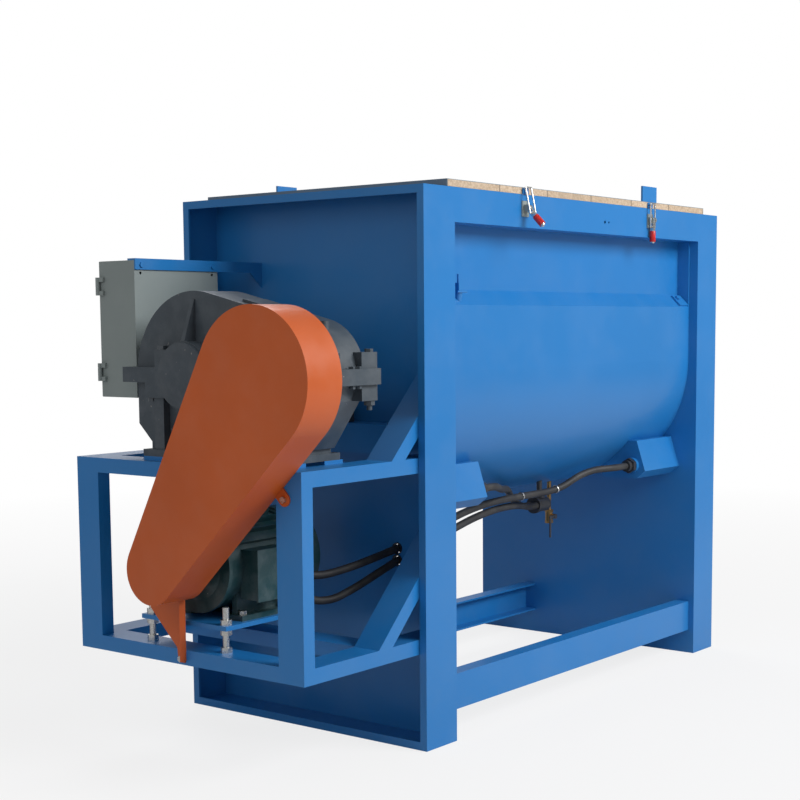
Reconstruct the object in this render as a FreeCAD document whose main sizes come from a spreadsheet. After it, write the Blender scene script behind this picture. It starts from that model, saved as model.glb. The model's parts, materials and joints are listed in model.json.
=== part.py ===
import FreeCAD, Part
import math
import os
import re

import Sketcher
from FreeCAD import Placement, Rotation, Vector

# Ribbon blender: a jacketed U-trough between two tray-shaped end frames, a double ribbon agitator,
# and a belt and reducer drive on a tubular cage at the -X end.
# Millimetres. +Z up, the shaft runs along X, the lid clamps face -Y, the floor is Z = 0 and the
# origin lies on the floor under the middle of the whole machine.

SIZES = {
    # end frames
    "frame_height": 1500,  # floor to the top of the end frames
    "frame_width": 890,  # along Y
    "frame_length": 1650,  # outer rim to outer rim
    "tray_depth": 130,  # how far each end frame's rim stands out from its plate
    "lip_width": 22,  # the rim's return lip
    "sheet": 6,  # end plates, rims and trough shell
    # trough and jacket
    "shaft_height": 1012,
    "trough_radius": 366,  # inside
    "jacket_radius": 414,  # outside
    "jacket_sheet": 4,
    "jacket_top": 1190,  # where the jacket bends in to the wall
    "beam_height": 92,
    "base_rail_height": 100,
    "base_rail_flange": 48,
    "base_rail_lift": 80,  # floor to the underside of the base rails
    "rear_rail_y": 255,
    # agitator
    "shaft_radius": 35,
    "ribbon_gap": 10,  # outer ribbon to shell
    "ribbon_width": 50,
    "ribbon_sheet": 8,
    "inner_ribbon_radius": 205,
    "inner_ribbon_width": 45,
    "ribbon_length": 1340,
    "spoke_radius": 14,
    # lid
    "lid_length": 1445,
    "lid_sheet": 1.5,
    "plank_thickness": 18,
    "plank_width": 286,
    "first_plank": 138,
    "lid_hinge_x": 360,
    "lid_opening": 95,
    # drive cage
    "cage_length": 588,  # out from the end plate
    "cage_width": 822,
    "cage_shift": 11,  # the cage stands this far towards the clamp side
    "cage_base": 262,
    "tube_wide": 84,
    "tube_narrow": 40,
    "tube_wall": 4,
    # reducer
    "centre_height": 214,
    "packing": 10,
    "centre_distance": 350,
    "case_width": 140,
    "seat_width": 224,
    "case_middle": 455,  # from the end plate to the case's middle plane
    "big_dome": 217,
    "small_dome": 145,
    "small_dome_y": 310,
    "joint_flange": 20,
    "flange_front": 482,  # the joint flange's reach from the low-speed shaft, each way
    "flange_back": 243,
    "lug_height": 60,
    "output_radius": 32,
    "big_seat": 89,
    "middle_seat": 66,
    "small_seat": 54,
    "middle_shaft_y": 200,
    "foot_width": 200,
    "foot_sheet": 18,
    "input_radius": 18,
    # belt drive
    "input_pulley_radius": 137.5,
    "motor_pulley_radius": 55,
    "pulley_width": 62,
    "belt_width": 13,
    "belt_depth": 11,
    "groove_pitch": 19,
    "guard_depth": 120,
    "guard_top_radius": 179,
    "guard_low_radius": 85.5,
    "guard_top_shift": 27,  # the guard's upper round stands this far in front of the input shaft
    "guard_low_shift": 18,  # and its lower round this far in front of the motor shaft
    "guard_low_rise": 9,
    "guard_sheet": 2,
    # motor
    "motor_y": 5,
    "plate_y": 23,  # the middle of the motor plate
    "motor_centre_height": 132,
    "motor_plate_top": 374,
    "motor_plate_sheet": 12,
    "motor_body_radius": 118,
    "motor_fin_radius": 136,
    "motor_body_length": 250,
    "motor_shaft_radius": 19,
    "stud_radius": 9,
    "stud_spread_y": 276,
    "stud_spread_x": 290,
    # bearings
    "bearing_shelf_top": 868,
    "bearing_shelf_width": 560,
    "bearing_shelf_depth": 80,
    # control cabinet
    "cabinet_length": 312,
    "cabinet_depth": 140,
    "cabinet_height": 370,
    "cabinet_y": 260,
    "cabinet_top": 1316,
    "cabinet_end": 490,  # from the end plate to the cabinet's outer side
    # lid clamps
    "clamp_x": 356,
    # discharge
    "outlet_width": 210,
    "outlet_height": 106,
    "outlet_lip": 18,  # the outlet's sill above the trough's lowest line
    # heaters and cables
    "heater_length": 236,
    "cable_radius": 11,
    "cable_hole_y": -246,
    "cable_hole_z": 484,
    "cable_spread": 34,
    # clearances between pieces that move past each other
    "gap": 0.3,
    "running_gap": 0.05,
}

# values that follow from the sizes above
FOLLOWS = {
    "plate_face": "(frame_length / 2 - tray_depth)",
    "plate_inside": "(plate_face - sheet)",
    "half_width": "(frame_width / 2)",
    "cage_face": "(plate_face + cage_length)",
    "cage_top": "(shaft_height - centre_height - packing)",
    "cage_front": "(-cage_width / 2 - cage_shift)",
    "cage_back": "(cage_width / 2 - cage_shift)",
    "guard_face": "(cage_face + 1 + guard_depth)",
    "mid_x": "((guard_face - frame_length / 2) / 2)",
    "mid_y": "((centre_distance + guard_top_shift + guard_top_radius - half_width - 18) / 2)",
    "shell_outside": "(trough_radius + sheet)",
    "outlet_sill": "(shaft_height - trough_radius + outlet_lip)",
    "ribbon_radius": "(trough_radius - ribbon_gap)",
    "ribbon_pitch": "(ribbon_length / 2)",
    "motor_axis_z": "(motor_plate_top + 8 + motor_centre_height)",
    "case_x": "(-plate_face - case_middle)",
    "lid_under": "(frame_height + gap)",
    "lid_top": "(lid_under + plank_thickness + lid_sheet)",
    "pulley_x": "(-cage_face - 1 - guard_depth / 2)",
    "motor_front": "(-cage_face + 68)",
    "stud_front": "(-cage_face + 43)",
    "coupling_x": "(-plate_face - 245)",
    "motor_rear": "(-cage_face + 68 + motor_body_length)",
}

doc = FreeCAD.newDocument("RibbonBlender")
sizes = doc.addObject("Spreadsheet::Sheet", "sizes")
for row, (alias, number) in enumerate(SIZES.items(), start=1):
    sizes.set(f"A{row}", alias)
    sizes.set(f"B{row}", str(number))
    sizes.setAlias(f"B{row}", alias)
doc.recompute()

WORD = re.compile(r"[A-Za-z_]\w*")
NODES = {}


def formula(text):
    """The text with each derived value spelled out and each size read from the sheet."""

    def swap(match):
        word = match.group(0)
        if word in FOLLOWS:
            return formula(FOLLOWS[word])
        return "sizes." + word if word in SIZES else word

    return WORD.sub(swap, str(text))


def number(text):
    """The formula's present value."""
    return float(sizes.evalExpression(formula(text)))


def bind(obj, **properties):
    for name, text in properties.items():
        obj.setExpression(name, formula(text))
    return obj


def place(obj, x=0, y=0, z=0, turn=Rotation()):
    """Turn obj about its own origin and stand that origin at x, y, z from the trough's middle."""
    obj.Placement = Placement(Vector(), turn)
    spots = {"x": f"{x} + mid_x", "y": f"{y} + mid_y", "z": z}
    for axis, text in spots.items():
        obj.setExpression("Placement.Base." + axis, formula(text))
    return obj


ALONG = {
    "X": Rotation(Vector(0, 1, 0), 90),
    "Y": Rotation(Vector(1, 0, 0), -90),
    "Z": Rotation(),
    "-X": Rotation(Vector(0, 1, 0), -90),
    "-Y": Rotation(Vector(1, 0, 0), 90),
    "-Z": Rotation(Vector(1, 0, 0), 180),
}


def box(at, size):
    solid = doc.addObject("Part::Box", "Block")
    bind(solid, Length=size[0], Width=size[1], Height=size[2])
    return place(solid, *at)


def rod(at, radius, length, along="X"):
    solid = doc.addObject("Part::Cylinder", "Rod")
    bind(solid, Radius=radius, Height=length)
    return place(solid, *at, turn=ALONG[along])


def cone(at, first, last, length, along="X"):
    solid = doc.addObject("Part::Cone", "Cone")
    bind(solid, Radius1=first, Radius2=last, Height=length)
    return place(solid, *at, turn=ALONG[along])


def hexagon(at, across, length, along="X"):
    """A hexagonal head or nut, measured across its flats."""
    solid = doc.addObject("Part::Prism", "Hexagon")
    solid.Polygon = 6
    bind(solid, Circumradius=f"({across}) / sqrt(3)", Height=length)
    return place(solid, *at, turn=ALONG[along])


def fuse(*pieces):
    whole = doc.addObject("Part::MultiFuse", "Joined")
    whole.Shapes = list(pieces)
    whole.Refine = True
    return whole


def cut(base, *tools):
    tool = tools[0] if len(tools) == 1 else fuse(*tools)
    rest = doc.addObject("Part::Cut", "Cut")
    rest.Base = base
    rest.Tool = tool
    rest.Refine = True
    return rest


def common(first, second):
    rest = doc.addObject("Part::Common", "Common")
    rest.Base = first
    rest.Tool = second
    return rest


def group(*pieces):
    """Like pieces kept as separate solids in one node."""
    whole = doc.addObject("Part::Compound", "Group")
    whole.Links = list(pieces)
    return whole


def node(name, obj):
    obj.Label = name
    NODES[name] = obj
    return obj


def new_body(name):
    return doc.addObject("PartDesign::Body", name)


def plane_sketch(body, plane="XY_Plane", offset=None):
    base = next(f for f in body.Origin.OriginFeatures if f.Role == plane)
    sketch = body.newObject("Sketcher::SketchObject", "Outline")
    sketch.AttachmentSupport = [(base, "")]
    sketch.MapMode = "FlatFace"
    if offset is not None:
        sketch.setExpression("AttachmentOffset.Base.z", formula(offset))
    return sketch


def fix(sketch, kind, *parts):
    """Add one dimension whose last part is a formula."""
    *where, text = parts
    index = sketch.addConstraint(Sketcher.Constraint(kind, *where, number(text)))
    sketch.setExpression(f"Constraints[{index}]", formula(text))


def draw_outline(sketch, corners):
    """A closed outline through the corners, each (x, y), or (x, y, arc centre x, arc centre y, turn)
    where the edge to the next corner is an arc that turns +1 (anticlockwise) or -1."""
    spots = [Vector(number(c[0]), number(c[1]), 0) for c in corners]
    first = sketch.GeometryCount
    ends = []
    for i, corner in enumerate(corners):
        start, end = spots[i], spots[(i + 1) % len(spots)]
        if len(corner) == 2:
            sketch.addGeometry(Part.LineSegment(start, end))
            ends.append((1, 2))
            continue
        centre = Vector(number(corner[2]), number(corner[3]), 0)
        circle = Part.Circle(centre, Vector(0, 0, 1), start.distanceToPoint(centre))
        angles = [math.atan2(p.y - centre.y, p.x - centre.x) for p in (start, end)]
        if corner[4] < 0:
            angles.reverse()
        if angles[1] <= angles[0]:
            angles[1] += 2 * math.pi
        sketch.addGeometry(Part.ArcOfCircle(circle, *angles))
        ends.append((1, 2) if corner[4] > 0 else (2, 1))
    for i, corner in enumerate(corners):
        after = (i + 1) % len(corners)
        joint = (first + i, ends[i][1], first + after, ends[after][0])
        sketch.addConstraint(Sketcher.Constraint("Coincident", *joint))
        fix(sketch, "DistanceX", -1, 1, first + i, ends[i][0], corner[0])
        fix(sketch, "DistanceY", -1, 1, first + i, ends[i][0], corner[1])
        if len(corner) > 2:
            chord = spots[after] - spots[i]
            upright = abs(chord.y) > abs(chord.x)
            kind, text = ("DistanceX", corner[2]) if upright else ("DistanceY", corner[3])
            fix(sketch, kind, -1, 1, first + i, 3, text)


def draw_rectangle(sketch, x, y, width, height):
    right, top = f"{x} + {width}", f"{y} + {height}"
    draw_outline(sketch, [(x, y), (right, y), (right, top), (x, top)])


def draw_circle(sketch, x, y, radius):
    centre = Vector(number(x), number(y), 0)
    index = sketch.addGeometry(Part.Circle(centre, Vector(0, 0, 1), number(radius)))
    fix(sketch, "DistanceX", -1, 1, index, 3, x)
    fix(sketch, "DistanceY", -1, 1, index, 3, y)
    fix(sketch, "Radius", index, radius)


def draw_wrap(sketch, one, other):
    """The outline that a tight belt would take round two circles, each (x, y, radius)."""
    (x1, y1, r1), (x2, y2, r2) = [[number(v) for v in circle] for circle in (one, other)]
    lean = math.atan2(y2 - y1, x2 - x1)
    spread = math.acos((r1 - r2) / math.hypot(x2 - x1, y2 - y1))
    up, down = lean + spread, lean - spread
    c1, c2 = Vector(x1, y1, 0), Vector(x2, y2, 0)
    rim = lambda c, r, a: c + Vector(r * math.cos(a), r * math.sin(a), 0)
    first = sketch.GeometryCount
    sketch.addGeometry(Part.ArcOfCircle(Part.Circle(c1, Vector(0, 0, 1), r1), up, down + 2 * math.pi))
    sketch.addGeometry(Part.LineSegment(rim(c1, r1, down), rim(c2, r2, down)))
    sketch.addGeometry(Part.ArcOfCircle(Part.Circle(c2, Vector(0, 0, 1), r2), down, up))
    sketch.addGeometry(Part.LineSegment(rim(c2, r2, up), rim(c1, r1, up)))
    for i in range(4):
        joint = (first + i, 2, first + (i + 1) % 4, 1)
        sketch.addConstraint(Sketcher.Constraint("Tangent", *joint))
    for index, circle in ((first, one), (first + 2, other)):
        fix(sketch, "DistanceX", -1, 1, index, 3, circle[0])
        fix(sketch, "DistanceY", -1, 1, index, 3, circle[1])
        fix(sketch, "Radius", index, circle[2])


def pad(sketch, length, middle=False):
    feature = sketch.getParentGeoFeatureGroup().newObject("PartDesign::Pad", "Pad")
    feature.Profile = sketch
    feature.Midplane = middle
    return bind(feature, Length=length)


def pocket(sketch, depth, reverse=True, middle=False):
    """Cut along the sketch's normal (reverse=True) or against it."""
    feature = sketch.getParentGeoFeatureGroup().newObject("PartDesign::Pocket", "Pocket")
    feature.Profile = sketch
    feature.Reversed = reverse
    feature.Midplane = middle
    return bind(feature, Length=depth)


# ------------------------------------------------------------------ end frames


def end_plate(side):
    """A flat sheet across the whole end of the machine, bored for the shaft; side is -1 or 1."""
    body = new_body("EndPlate")
    outline = plane_sketch(body, "YZ_Plane")
    draw_rectangle(outline, "-half_width", "0", "frame_width", "frame_height")
    pad(outline, "sheet")
    bore = plane_sketch(body, "YZ_Plane")
    draw_circle(bore, "0", "shaft_height", "shaft_radius + 12")
    if side > 0:
        draw_rectangle(bore, "-outlet_width / 2", "outlet_sill", "outlet_width", "outlet_height")
    else:
        for offset in (0, 1):
            draw_circle(bore, "cable_hole_y", f"cable_hole_z + {offset} * cable_spread", "cable_radius + 4")
    pocket(bore, "sheet")
    return place(body, "-plate_face" if side < 0 else "plate_inside")


def rim_member(side, edge):
    """One side of a rim: a flange standing out from the plate, with a return lip along its end."""
    upright = edge in ("front", "back")
    length = "frame_height" if upright else "(frame_width - 2 * sheet)"
    inset = "sheet" if upright else "(lip_width - sheet)"
    body = new_body("RimMember")
    flange = plane_sketch(body)
    draw_rectangle(flange, "0", "0", "tray_depth", "sheet")
    pad(flange, length)
    lip = plane_sketch(body, offset=inset)
    draw_rectangle(lip, "tray_depth - sheet", "0", "sheet", "lip_width")
    pad(lip, f"{length} - 2 * {inset}")
    # in the piece's own frame X runs out along the shaft and Y runs in towards the plate's middle
    out, up, across = Vector(1, 0, 0), Vector(0, 0, 1), Vector(0, 1, 0)
    far_end = {
        "front": (across, up, "-half_width", "0"),
        "back": (-across, -up, "half_width", "frame_height"),
        "foot": (up, -across, "half_width - sheet", "0"),
        "head": (-up, across, "-half_width + sheet", "frame_height"),
    }
    if side > 0:
        inward, along, y, z = far_end[edge]
        return place(body, "plate_face", y, z, Rotation(out, inward, along, "ZXY"))
    # the drive end is the far end turned half round
    opposite = {"front": "back", "back": "front"}
    inward, along, y, z = far_end[opposite.get(edge, edge)]
    turn = Rotation(up, 180) * Rotation(out, inward, along, "ZXY")
    return place(body, "-plate_face", f"-({y})", z, turn)


node("drive_end_plate", end_plate(-1))
node("far_end_plate", end_plate(1))
SIDES = (-1, 1)
node("end_frame_posts", group(*[rim_member(s, e) for s in SIDES for e in ("front", "back")]))
node("end_frame_rails", group(*[rim_member(s, e) for s in SIDES for e in ("foot", "head")]))

# ------------------------------------------------------------------ trough and jacket


def u_sheet(name, outer, inner, top, length):
    """A sheet rolled to a U about the shaft, with straight walls up to top."""
    body = new_body(name)
    outline = plane_sketch(body, "YZ_Plane")
    corners = [
        (f"-({outer})", top),
        (f"-({outer})", "0", "0", "0", 1),
        (outer, "0"),
        (outer, top),
        (inner, top),
        (inner, "0", "0", "0", -1),
        (f"-({inner})", "0"),
        (f"-({inner})", top),
    ]
    draw_outline(outline, corners)
    pad(outline, length, middle=True)
    return body


shell = u_sheet(
    "TroughShell", "shell_outside", "trough_radius", "frame_height - sheet - shaft_height", "2 * plate_inside"
)
node("trough_shell", place(shell, z="shaft_height"))


def jacket():
    """The outer sheet: rolled, straight, then bent in to the wall with a bevel on each side."""
    body = new_body("HeatingJacket")
    outline = plane_sketch(body, "YZ_Plane")
    bend, rise = "(jacket_top - shaft_height)", "(jacket_radius - shell_outside)"
    inner, inner_bend = "(jacket_radius - jacket_sheet)", f"({bend} - 0.414 * jacket_sheet)"
    corners = [
        ("-jacket_radius", bend),
        ("-jacket_radius", "0", "0", "0", 1),
        ("jacket_radius", "0"),
        ("jacket_radius", bend),
        ("shell_outside", f"{bend} + {rise}"),
        ("shell_outside", f"{bend} + {rise} - 1.414 * jacket_sheet"),
        (inner, inner_bend),
        (inner, "0", "0", "0", -1),
        (f"-{inner}", "0"),
        (f"-{inner}", inner_bend),
        ("-shell_outside", f"{bend} + {rise} - 1.414 * jacket_sheet"),
        ("-shell_outside", f"{bend} + {rise}"),
    ]
    draw_outline(outline, corners)
    pad(outline, "2 * (plate_inside - sheet)", middle=True)
    return place(body, z="shaft_height")


node("heating_jacket", jacket())


def end_ring(side):
    """The U-shaped plate that closes one end of the jacket and stiffens the trough's end."""
    top = "frame_height - beam_height - shaft_height"
    ring = u_sheet("JacketEndRing", "jacket_radius", "shell_outside", top, "sheet")
    return place(ring, f"{side} * (plate_inside - sheet / 2)", z="shaft_height")


node("jacket_end_rings", group(*[end_ring(s) for s in SIDES]))


def channel(name, flange, height, upper_flange=None):
    """A channel along X: its web stands at Y = 0 and its flanges run towards +Y."""
    upper = upper_flange or flange
    body = new_body(name)
    outline = plane_sketch(body, "YZ_Plane")
    corners = [
        ("0", "0"),
        (flange, "0"),
        (flange, "sheet"),
        ("sheet", "sheet"),
        ("sheet", f"{height} - sheet"),
        (upper, f"{height} - sheet"),
        (upper, height),
        ("0", height),
    ]
    draw_outline(outline, corners)
    pad(outline, "2 * plate_inside", middle=True)
    return body


HALF_TURN = Rotation(Vector(0, 0, 1), 180)


def top_beam(side):
    """A channel along the trough's rim; its top flange covers the wall's edge."""
    beam = channel("TopBeam", "half_width - shell_outside", "beam_height", "half_width - trough_radius")
    turn = Rotation() if side < 0 else HALF_TURN
    return place(beam, y=f"{side} * half_width", z="frame_height - beam_height", turn=turn)


# two small holes left in the front beam
beam_holes = [
    rod((x, "-half_width - 1", "frame_height - 56"), radius, "sheet + 2", "Y")
    for x, radius in ((82, 5), (105, 3.5))
]
node("top_beams", group(cut(top_beam(-1), *beam_holes), top_beam(1)))
front_rail = channel("FrontBaseRail", "base_rail_flange", "base_rail_height")
place(front_rail, y="-half_width + 20", z="base_rail_lift")
rear_rail = channel("RearBaseRail", "base_rail_flange", "base_rail_height")
place(rear_rail, y="rear_rail_y", z="base_rail_lift", turn=HALF_TURN)
node("base_rails", group(front_rail, rear_rail))

# ------------------------------------------------------------------ lid


def lid_skin():
    """A thin sheet over the planks, folded down over their ends."""
    body = new_body("LidSkin")
    outline = plane_sketch(body, "XZ_Plane")
    end, fold = "lid_length / 2", "(lid_length / 2 - lid_sheet)"
    high, under = "(plank_thickness + lid_sheet)", "plank_thickness"
    corners = [
        (f"-{end}", "0"),
        (f"-{fold}", "0"),
        (f"-{fold}", under),
        (fold, under),
        (fold, "0"),
        (end, "0"),
        (end, high),
        (f"-{end}", high),
    ]
    draw_outline(outline, corners)
    pad(outline, "frame_width", middle=True)
    return place(body, z="lid_under")


WHOLE_PLANKS = 4
seams = ["-lid_length / 2 + lid_sheet"]
seams += [f"-lid_length / 2 + first_plank + {i} * plank_width" for i in range(WHOLE_PLANKS + 1)]
seams.append("lid_length / 2 - lid_sheet")
planks = [
    box((start, "-half_width", "lid_under"), (f"({end}) - ({start})", "frame_width", "plank_thickness"))
    for start, end in zip(seams, seams[1:])
]
node("lid_planks", group(*planks))
node("lid_skin", lid_skin())

LID_PIN_Y = "(half_width + 2)"
LID_PIN_Z = "(lid_top + 25)"


def hinge_leaf(x):
    """A strap on the lid's back edge with an eye for the hinge pin."""
    strap = box((f"{x} - 28", "half_width - 75", "lid_top"), (56, 70, 6))
    arm = box((f"{x} - 20", f"{LID_PIN_Y} - 34", "lid_top + 6"), (40, 34, f"{LID_PIN_Z} - lid_top - 6"))
    eye = rod((f"{x} - 20", LID_PIN_Y, LID_PIN_Z), 9, 40)
    bore = rod((f"{x} - 30", LID_PIN_Y, LID_PIN_Z), "5 + running_gap", 60)
    return cut(fuse(strap, arm, eye), bore)


def hinge_bracket(x):
    """A plate on the back beam that rises behind the lid and holds the pin in two ears."""
    foot = box((f"{x} - 45", "half_width", "frame_height - 70"), (90, 18, 60))
    back = box((f"{x} - 45", "half_width + 12", "frame_height - 10"),
              (90, 6, f"{LID_PIN_Z} - frame_height + 40"))
    ears = [
        box((f"{x} + {start}", f"{LID_PIN_Y} - 9", f"{LID_PIN_Z} - 12"), (12, "19", 24))
        for start in (-45, 33)
    ]
    bore = rod((f"{x} - 50", LID_PIN_Y, LID_PIN_Z), "5 + running_gap", 100)
    return cut(fuse(foot, back, *ears), bore)


def hinge_pin(x):
    return rod((f"{x} - 48", LID_PIN_Y, LID_PIN_Z), 5, 96)


HINGE_SPOTS = ("-lid_hinge_x", "lid_hinge_x")
brackets = [hinge_bracket(x) for x in HINGE_SPOTS] + [hinge_pin(x) for x in HINGE_SPOTS]
node("lid_hinge_brackets", group(*brackets))


def keeper(x):
    """The hook on the lid's front edge that a clamp's bail pulls down on."""
    plate = box((f"{x} - 15", "-half_width - 3", "lid_under + 1"), (30, 3, 16))
    shelf = box((f"{x} - 8", "-half_width - 7", "lid_under + 1"), (16, 4, 5))
    lip = box((f"{x} - 8", "-half_width - 7", "lid_under + 6"), (16, 1.5, 5))
    return fuse(plate, shelf, lip)


lug = box(("clamp_x - 45", "-half_width", "lid_top"), (90, 6, 48))
fittings = [hinge_leaf(x) for x in HINGE_SPOTS] + [keeper(x) for x in ("-clamp_x", "clamp_x")] + [lug]
node("lid_fittings", group(*fittings))

# ------------------------------------------------------------------ lid clamps

CLAMP_Y = "(-half_width - 12)"
CLAMP_Z = "(frame_height - 38)"
BAIL_DROP = 22  # from the lever's pivot to the bail's
BAIL_LENGTH = 74
BAIL_HALF = 14
BAIL_WIRE = 2.5
LEFT_OPEN = 45  # the left lever stands swung out by this angle
BAIL_SHARE = 0.271  # how much of the lever's swing the bail leans in by


def clamp_base(x):
    plate = box((f"{x} - 17", "-half_width - 3", f"{CLAMP_Z} - 24"), (34, 3, 44))
    ears = [
        fuse(
            box((f"{x} + {start}", CLAMP_Y, f"{CLAMP_Z} - 9"), (3, 9, 18)),
            rod((f"{x} + {start}", CLAMP_Y, CLAMP_Z), 9, 3),
        )
        for start in (-10, 7)
    ]
    bore = rod((f"{x} - 20", CLAMP_Y, CLAMP_Z), "3 + running_gap", 40)
    return cut(fuse(plate, *ears), bore)


def clamp_pin(x):
    return rod((f"{x} - 10.6", CLAMP_Y, CLAMP_Z), 3, 21.2)


def tilted(shape, x, y, z, degrees):
    """Swing a finished piece outwards (bottom towards -Y) about the line along X through y, z."""
    group_piece = group(shape)
    angle = math.radians(degrees)
    group_piece.Placement = Placement(Vector(), Rotation(Vector(1, 0, 0), -degrees))
    c, s = math.cos(angle), math.sin(angle)
    line = f"({y} + mid_y)"
    group_piece.setExpression("Placement.Base.y", formula(f"{line} - ({c} * {line} + {s} * ({z}))"))
    group_piece.setExpression("Placement.Base.z", formula(f"({z}) - (-{s} * {line} + {c} * ({z}))"))
    return group_piece


def clamp_lever(x):
    """A flat lever with a hub on the base's pin, a hole for the bail and a round grip."""
    hub = rod((f"{x} - 6", CLAMP_Y, CLAMP_Z), 8, 12)
    arm = box((f"{x} - 6", f"{CLAMP_Y} - 6", f"{CLAMP_Z} - 36"), (12, 12, 36))
    grip = rod((x, CLAMP_Y, f"{CLAMP_Z} - 68"), 7, 36, "Z")
    tip = cone((x, CLAMP_Y, f"{CLAMP_Z} - 72"), 5, 7, 4, "Z")
    pivot = rod((f"{x} - 8", CLAMP_Y, CLAMP_Z), "3 + running_gap", 16)
    eye = rod((f"{x} - 8", CLAMP_Y, f"{CLAMP_Z} - {BAIL_DROP}"), f"{BAIL_WIRE} + running_gap", 16)
    return cut(fuse(hub, arm, grip, tip), pivot, eye)


def clamp_bail(x):
    """A closed loop of round wire: its lower bar lies in the lever, its upper bar reaches the keeper."""
    low = f"{CLAMP_Z} - {BAIL_DROP}"
    legs = [rod((f"{x} + {side * BAIL_HALF}", CLAMP_Y, low), BAIL_WIRE, BAIL_LENGTH, "Z") for side in SIDES]
    width = 2 * BAIL_HALF
    bars = [rod((f"{x} - {BAIL_HALF}", CLAMP_Y, z), BAIL_WIRE, width)
            for z in (low, f"{low} + {BAIL_LENGTH}")]
    balls = []
    for side in SIDES:
        for z in (low, f"{low} + {BAIL_LENGTH}"):
            ball = doc.addObject("Part::Sphere", "Bend")
            bind(ball, Radius=BAIL_WIRE)
            balls.append(place(ball, f"{x} + {side * BAIL_HALF}", CLAMP_Y, z))
    return fuse(*legs, *bars, *balls)


spots = ("-clamp_x", "clamp_x")
node("clamp_bases", group(*[clamp_base(x) for x in spots], *[clamp_pin(x) for x in spots]))
left_lever, right_lever = clamp_lever("-clamp_x"), clamp_lever("clamp_x")
left_bail, right_bail = clamp_bail("-clamp_x"), clamp_bail("clamp_x")
node("left_clamp_lever", tilted(left_lever, "-clamp_x", CLAMP_Y, CLAMP_Z, LEFT_OPEN))
node("right_clamp_lever", right_lever)
# the left bail leans in with the opened lever, then moves out with the lever's hole
leaned = tilted(left_bail, "-clamp_x", CLAMP_Y, f"{CLAMP_Z} - {BAIL_DROP}", LEFT_OPEN * BAIL_SHARE)
swing = math.radians(LEFT_OPEN)
moved = group(leaned)
moved.Placement.Base = Vector(0, -BAIL_DROP * math.sin(swing), BAIL_DROP * (1 - math.cos(swing)))
node("left_clamp_bail", moved)
node("right_clamp_bail", right_bail)

# ------------------------------------------------------------------ drive cage


def tube(at, size, along):
    """A rectangular tube, open at the ends that lie along the named axis."""
    hollow_at, hollow_size = [], []
    for axis, start, length in zip("XYZ", at, size):
        wall = "0" if axis == along else "tube_wall"
        hollow_at.append(f"{start} + {wall}")
        hollow_size.append(f"{length} - 2 * {wall}")
    return cut(box(at, size), box(hollow_at, hollow_size))


REAR_FOOT = "(case_x + 40)"  # where the reducer's rear feet and the studs' beam stand
STUD_BEAM = "(stud_front + stud_spread_x - 40)"
TUBE = ("tube_wide", "tube_narrow")
cage_tubes = []
for y in ("cage_front", "cage_back - tube_wide"):
    for z in ("cage_base", "cage_top - tube_narrow"):
        cage_tubes.append(tube(("-cage_face", y, z), ("cage_length", *TUBE), "X"))
        stopper = ("tube_wall", "tube_wide - 2 * tube_wall", "tube_narrow - 2 * tube_wall")
        cage_tubes.append(box(("-cage_face", f"{y} + tube_wall", f"{z} + tube_wall"), stopper))
    post_height = "cage_top - cage_base - 2 * tube_narrow"
    post_size = ("tube_narrow", "tube_wide", post_height)
    cage_tubes.append(tube(("-cage_face", y, "cage_base + tube_narrow"), post_size, "Z"))
crossing = "cage_width - 2 * tube_wide"
for x, z in (
    ("-cage_face", "cage_base"),
    ("-cage_face", "cage_top - tube_narrow"),
    (REAR_FOOT, "cage_top - tube_narrow"),
    (STUD_BEAM, "cage_base"),
):
    size = ("tube_wide", crossing, "tube_narrow")
    cage_tubes.append(tube((x, "cage_front + tube_wide", z), size, "Y"))


def brace(y, foot_x, foot_z):
    """A sloping tube that rises at 45 degrees from a beam to the end plate."""
    body = new_body("Brace")
    slant = "tube_narrow * 1.4142"
    wall = "tube_wall * 1.4142"
    for part, inset in ((pad, "0"), (pocket, wall)):
        outline = plane_sketch(body, "XZ_Plane")
        left, right = f"({foot_x} + {inset})", f"({foot_x} + {slant} - {inset})"
        top = lambda start: f"{foot_z} - plate_face - {start}"
        corners = [
            (left, foot_z),
            (right, foot_z),
            ("-plate_face", top(right)),
            ("-plate_face", top(left)),
        ]
        draw_outline(outline, corners)
        if part is pad:
            pad(outline, "tube_wide", middle=True)
        else:
            pocket(outline, "tube_wide - 2 * tube_wall", middle=True)
    return place(body, y=y)


braces = []
for y in ("cage_front + tube_wide / 2", "cage_back - tube_wide / 2"):
    braces.append(brace(y, "-plate_face - 241", "cage_top"))
    braces.append(brace(y, "-plate_face - 300", "(cage_base + tube_narrow)"))
node("cage_braces", group(*braces))

# ------------------------------------------------------------------ gear reducer

AXES = (  # each shaft: distance in front of the trough's axis, seat radius
    ("0", "big_seat"),
    ("-middle_shaft_y", "middle_seat"),
    ("-centre_distance", "small_seat"),
)
CASE_LEFT = "(case_x - seat_width / 2)"
CASE_RIGHT = "(case_x + seat_width / 2)"


def case_slice(name, corners, length, x="case_x"):
    """A slab of the housing: an outline across the shafts, equal on both sides of x."""
    body = new_body(name)
    outline = plane_sketch(body, "YZ_Plane")
    draw_outline(outline, corners)
    pad(outline, length, middle=True)
    return place(body, x, z="shaft_height")


def seats(upper):
    """The bearing seats that stand out on both sides, cut to one half of the housing."""
    rods = [rod((CASE_LEFT, y, "shaft_height"), radius, "seat_width") for y, radius in AXES]
    z = "shaft_height" if upper else "shaft_height - big_seat"
    half = box((CASE_LEFT, "-centre_distance - 100", z), ("seat_width", "centre_distance + 200", "big_seat"))
    return common(fuse(*rods), half)


def shaft_bores():
    """The passages for the low-speed and the high-speed shaft."""
    low = rod((f"{CASE_LEFT} + 15", "0", "shaft_height"), "output_radius + running_gap", "seat_width + 60")
    high_x = f"{CASE_LEFT} - 60"
    high = rod((high_x, "-centre_distance", "shaft_height"), "input_radius + running_gap", "seat_width")
    return [low, high]


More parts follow.
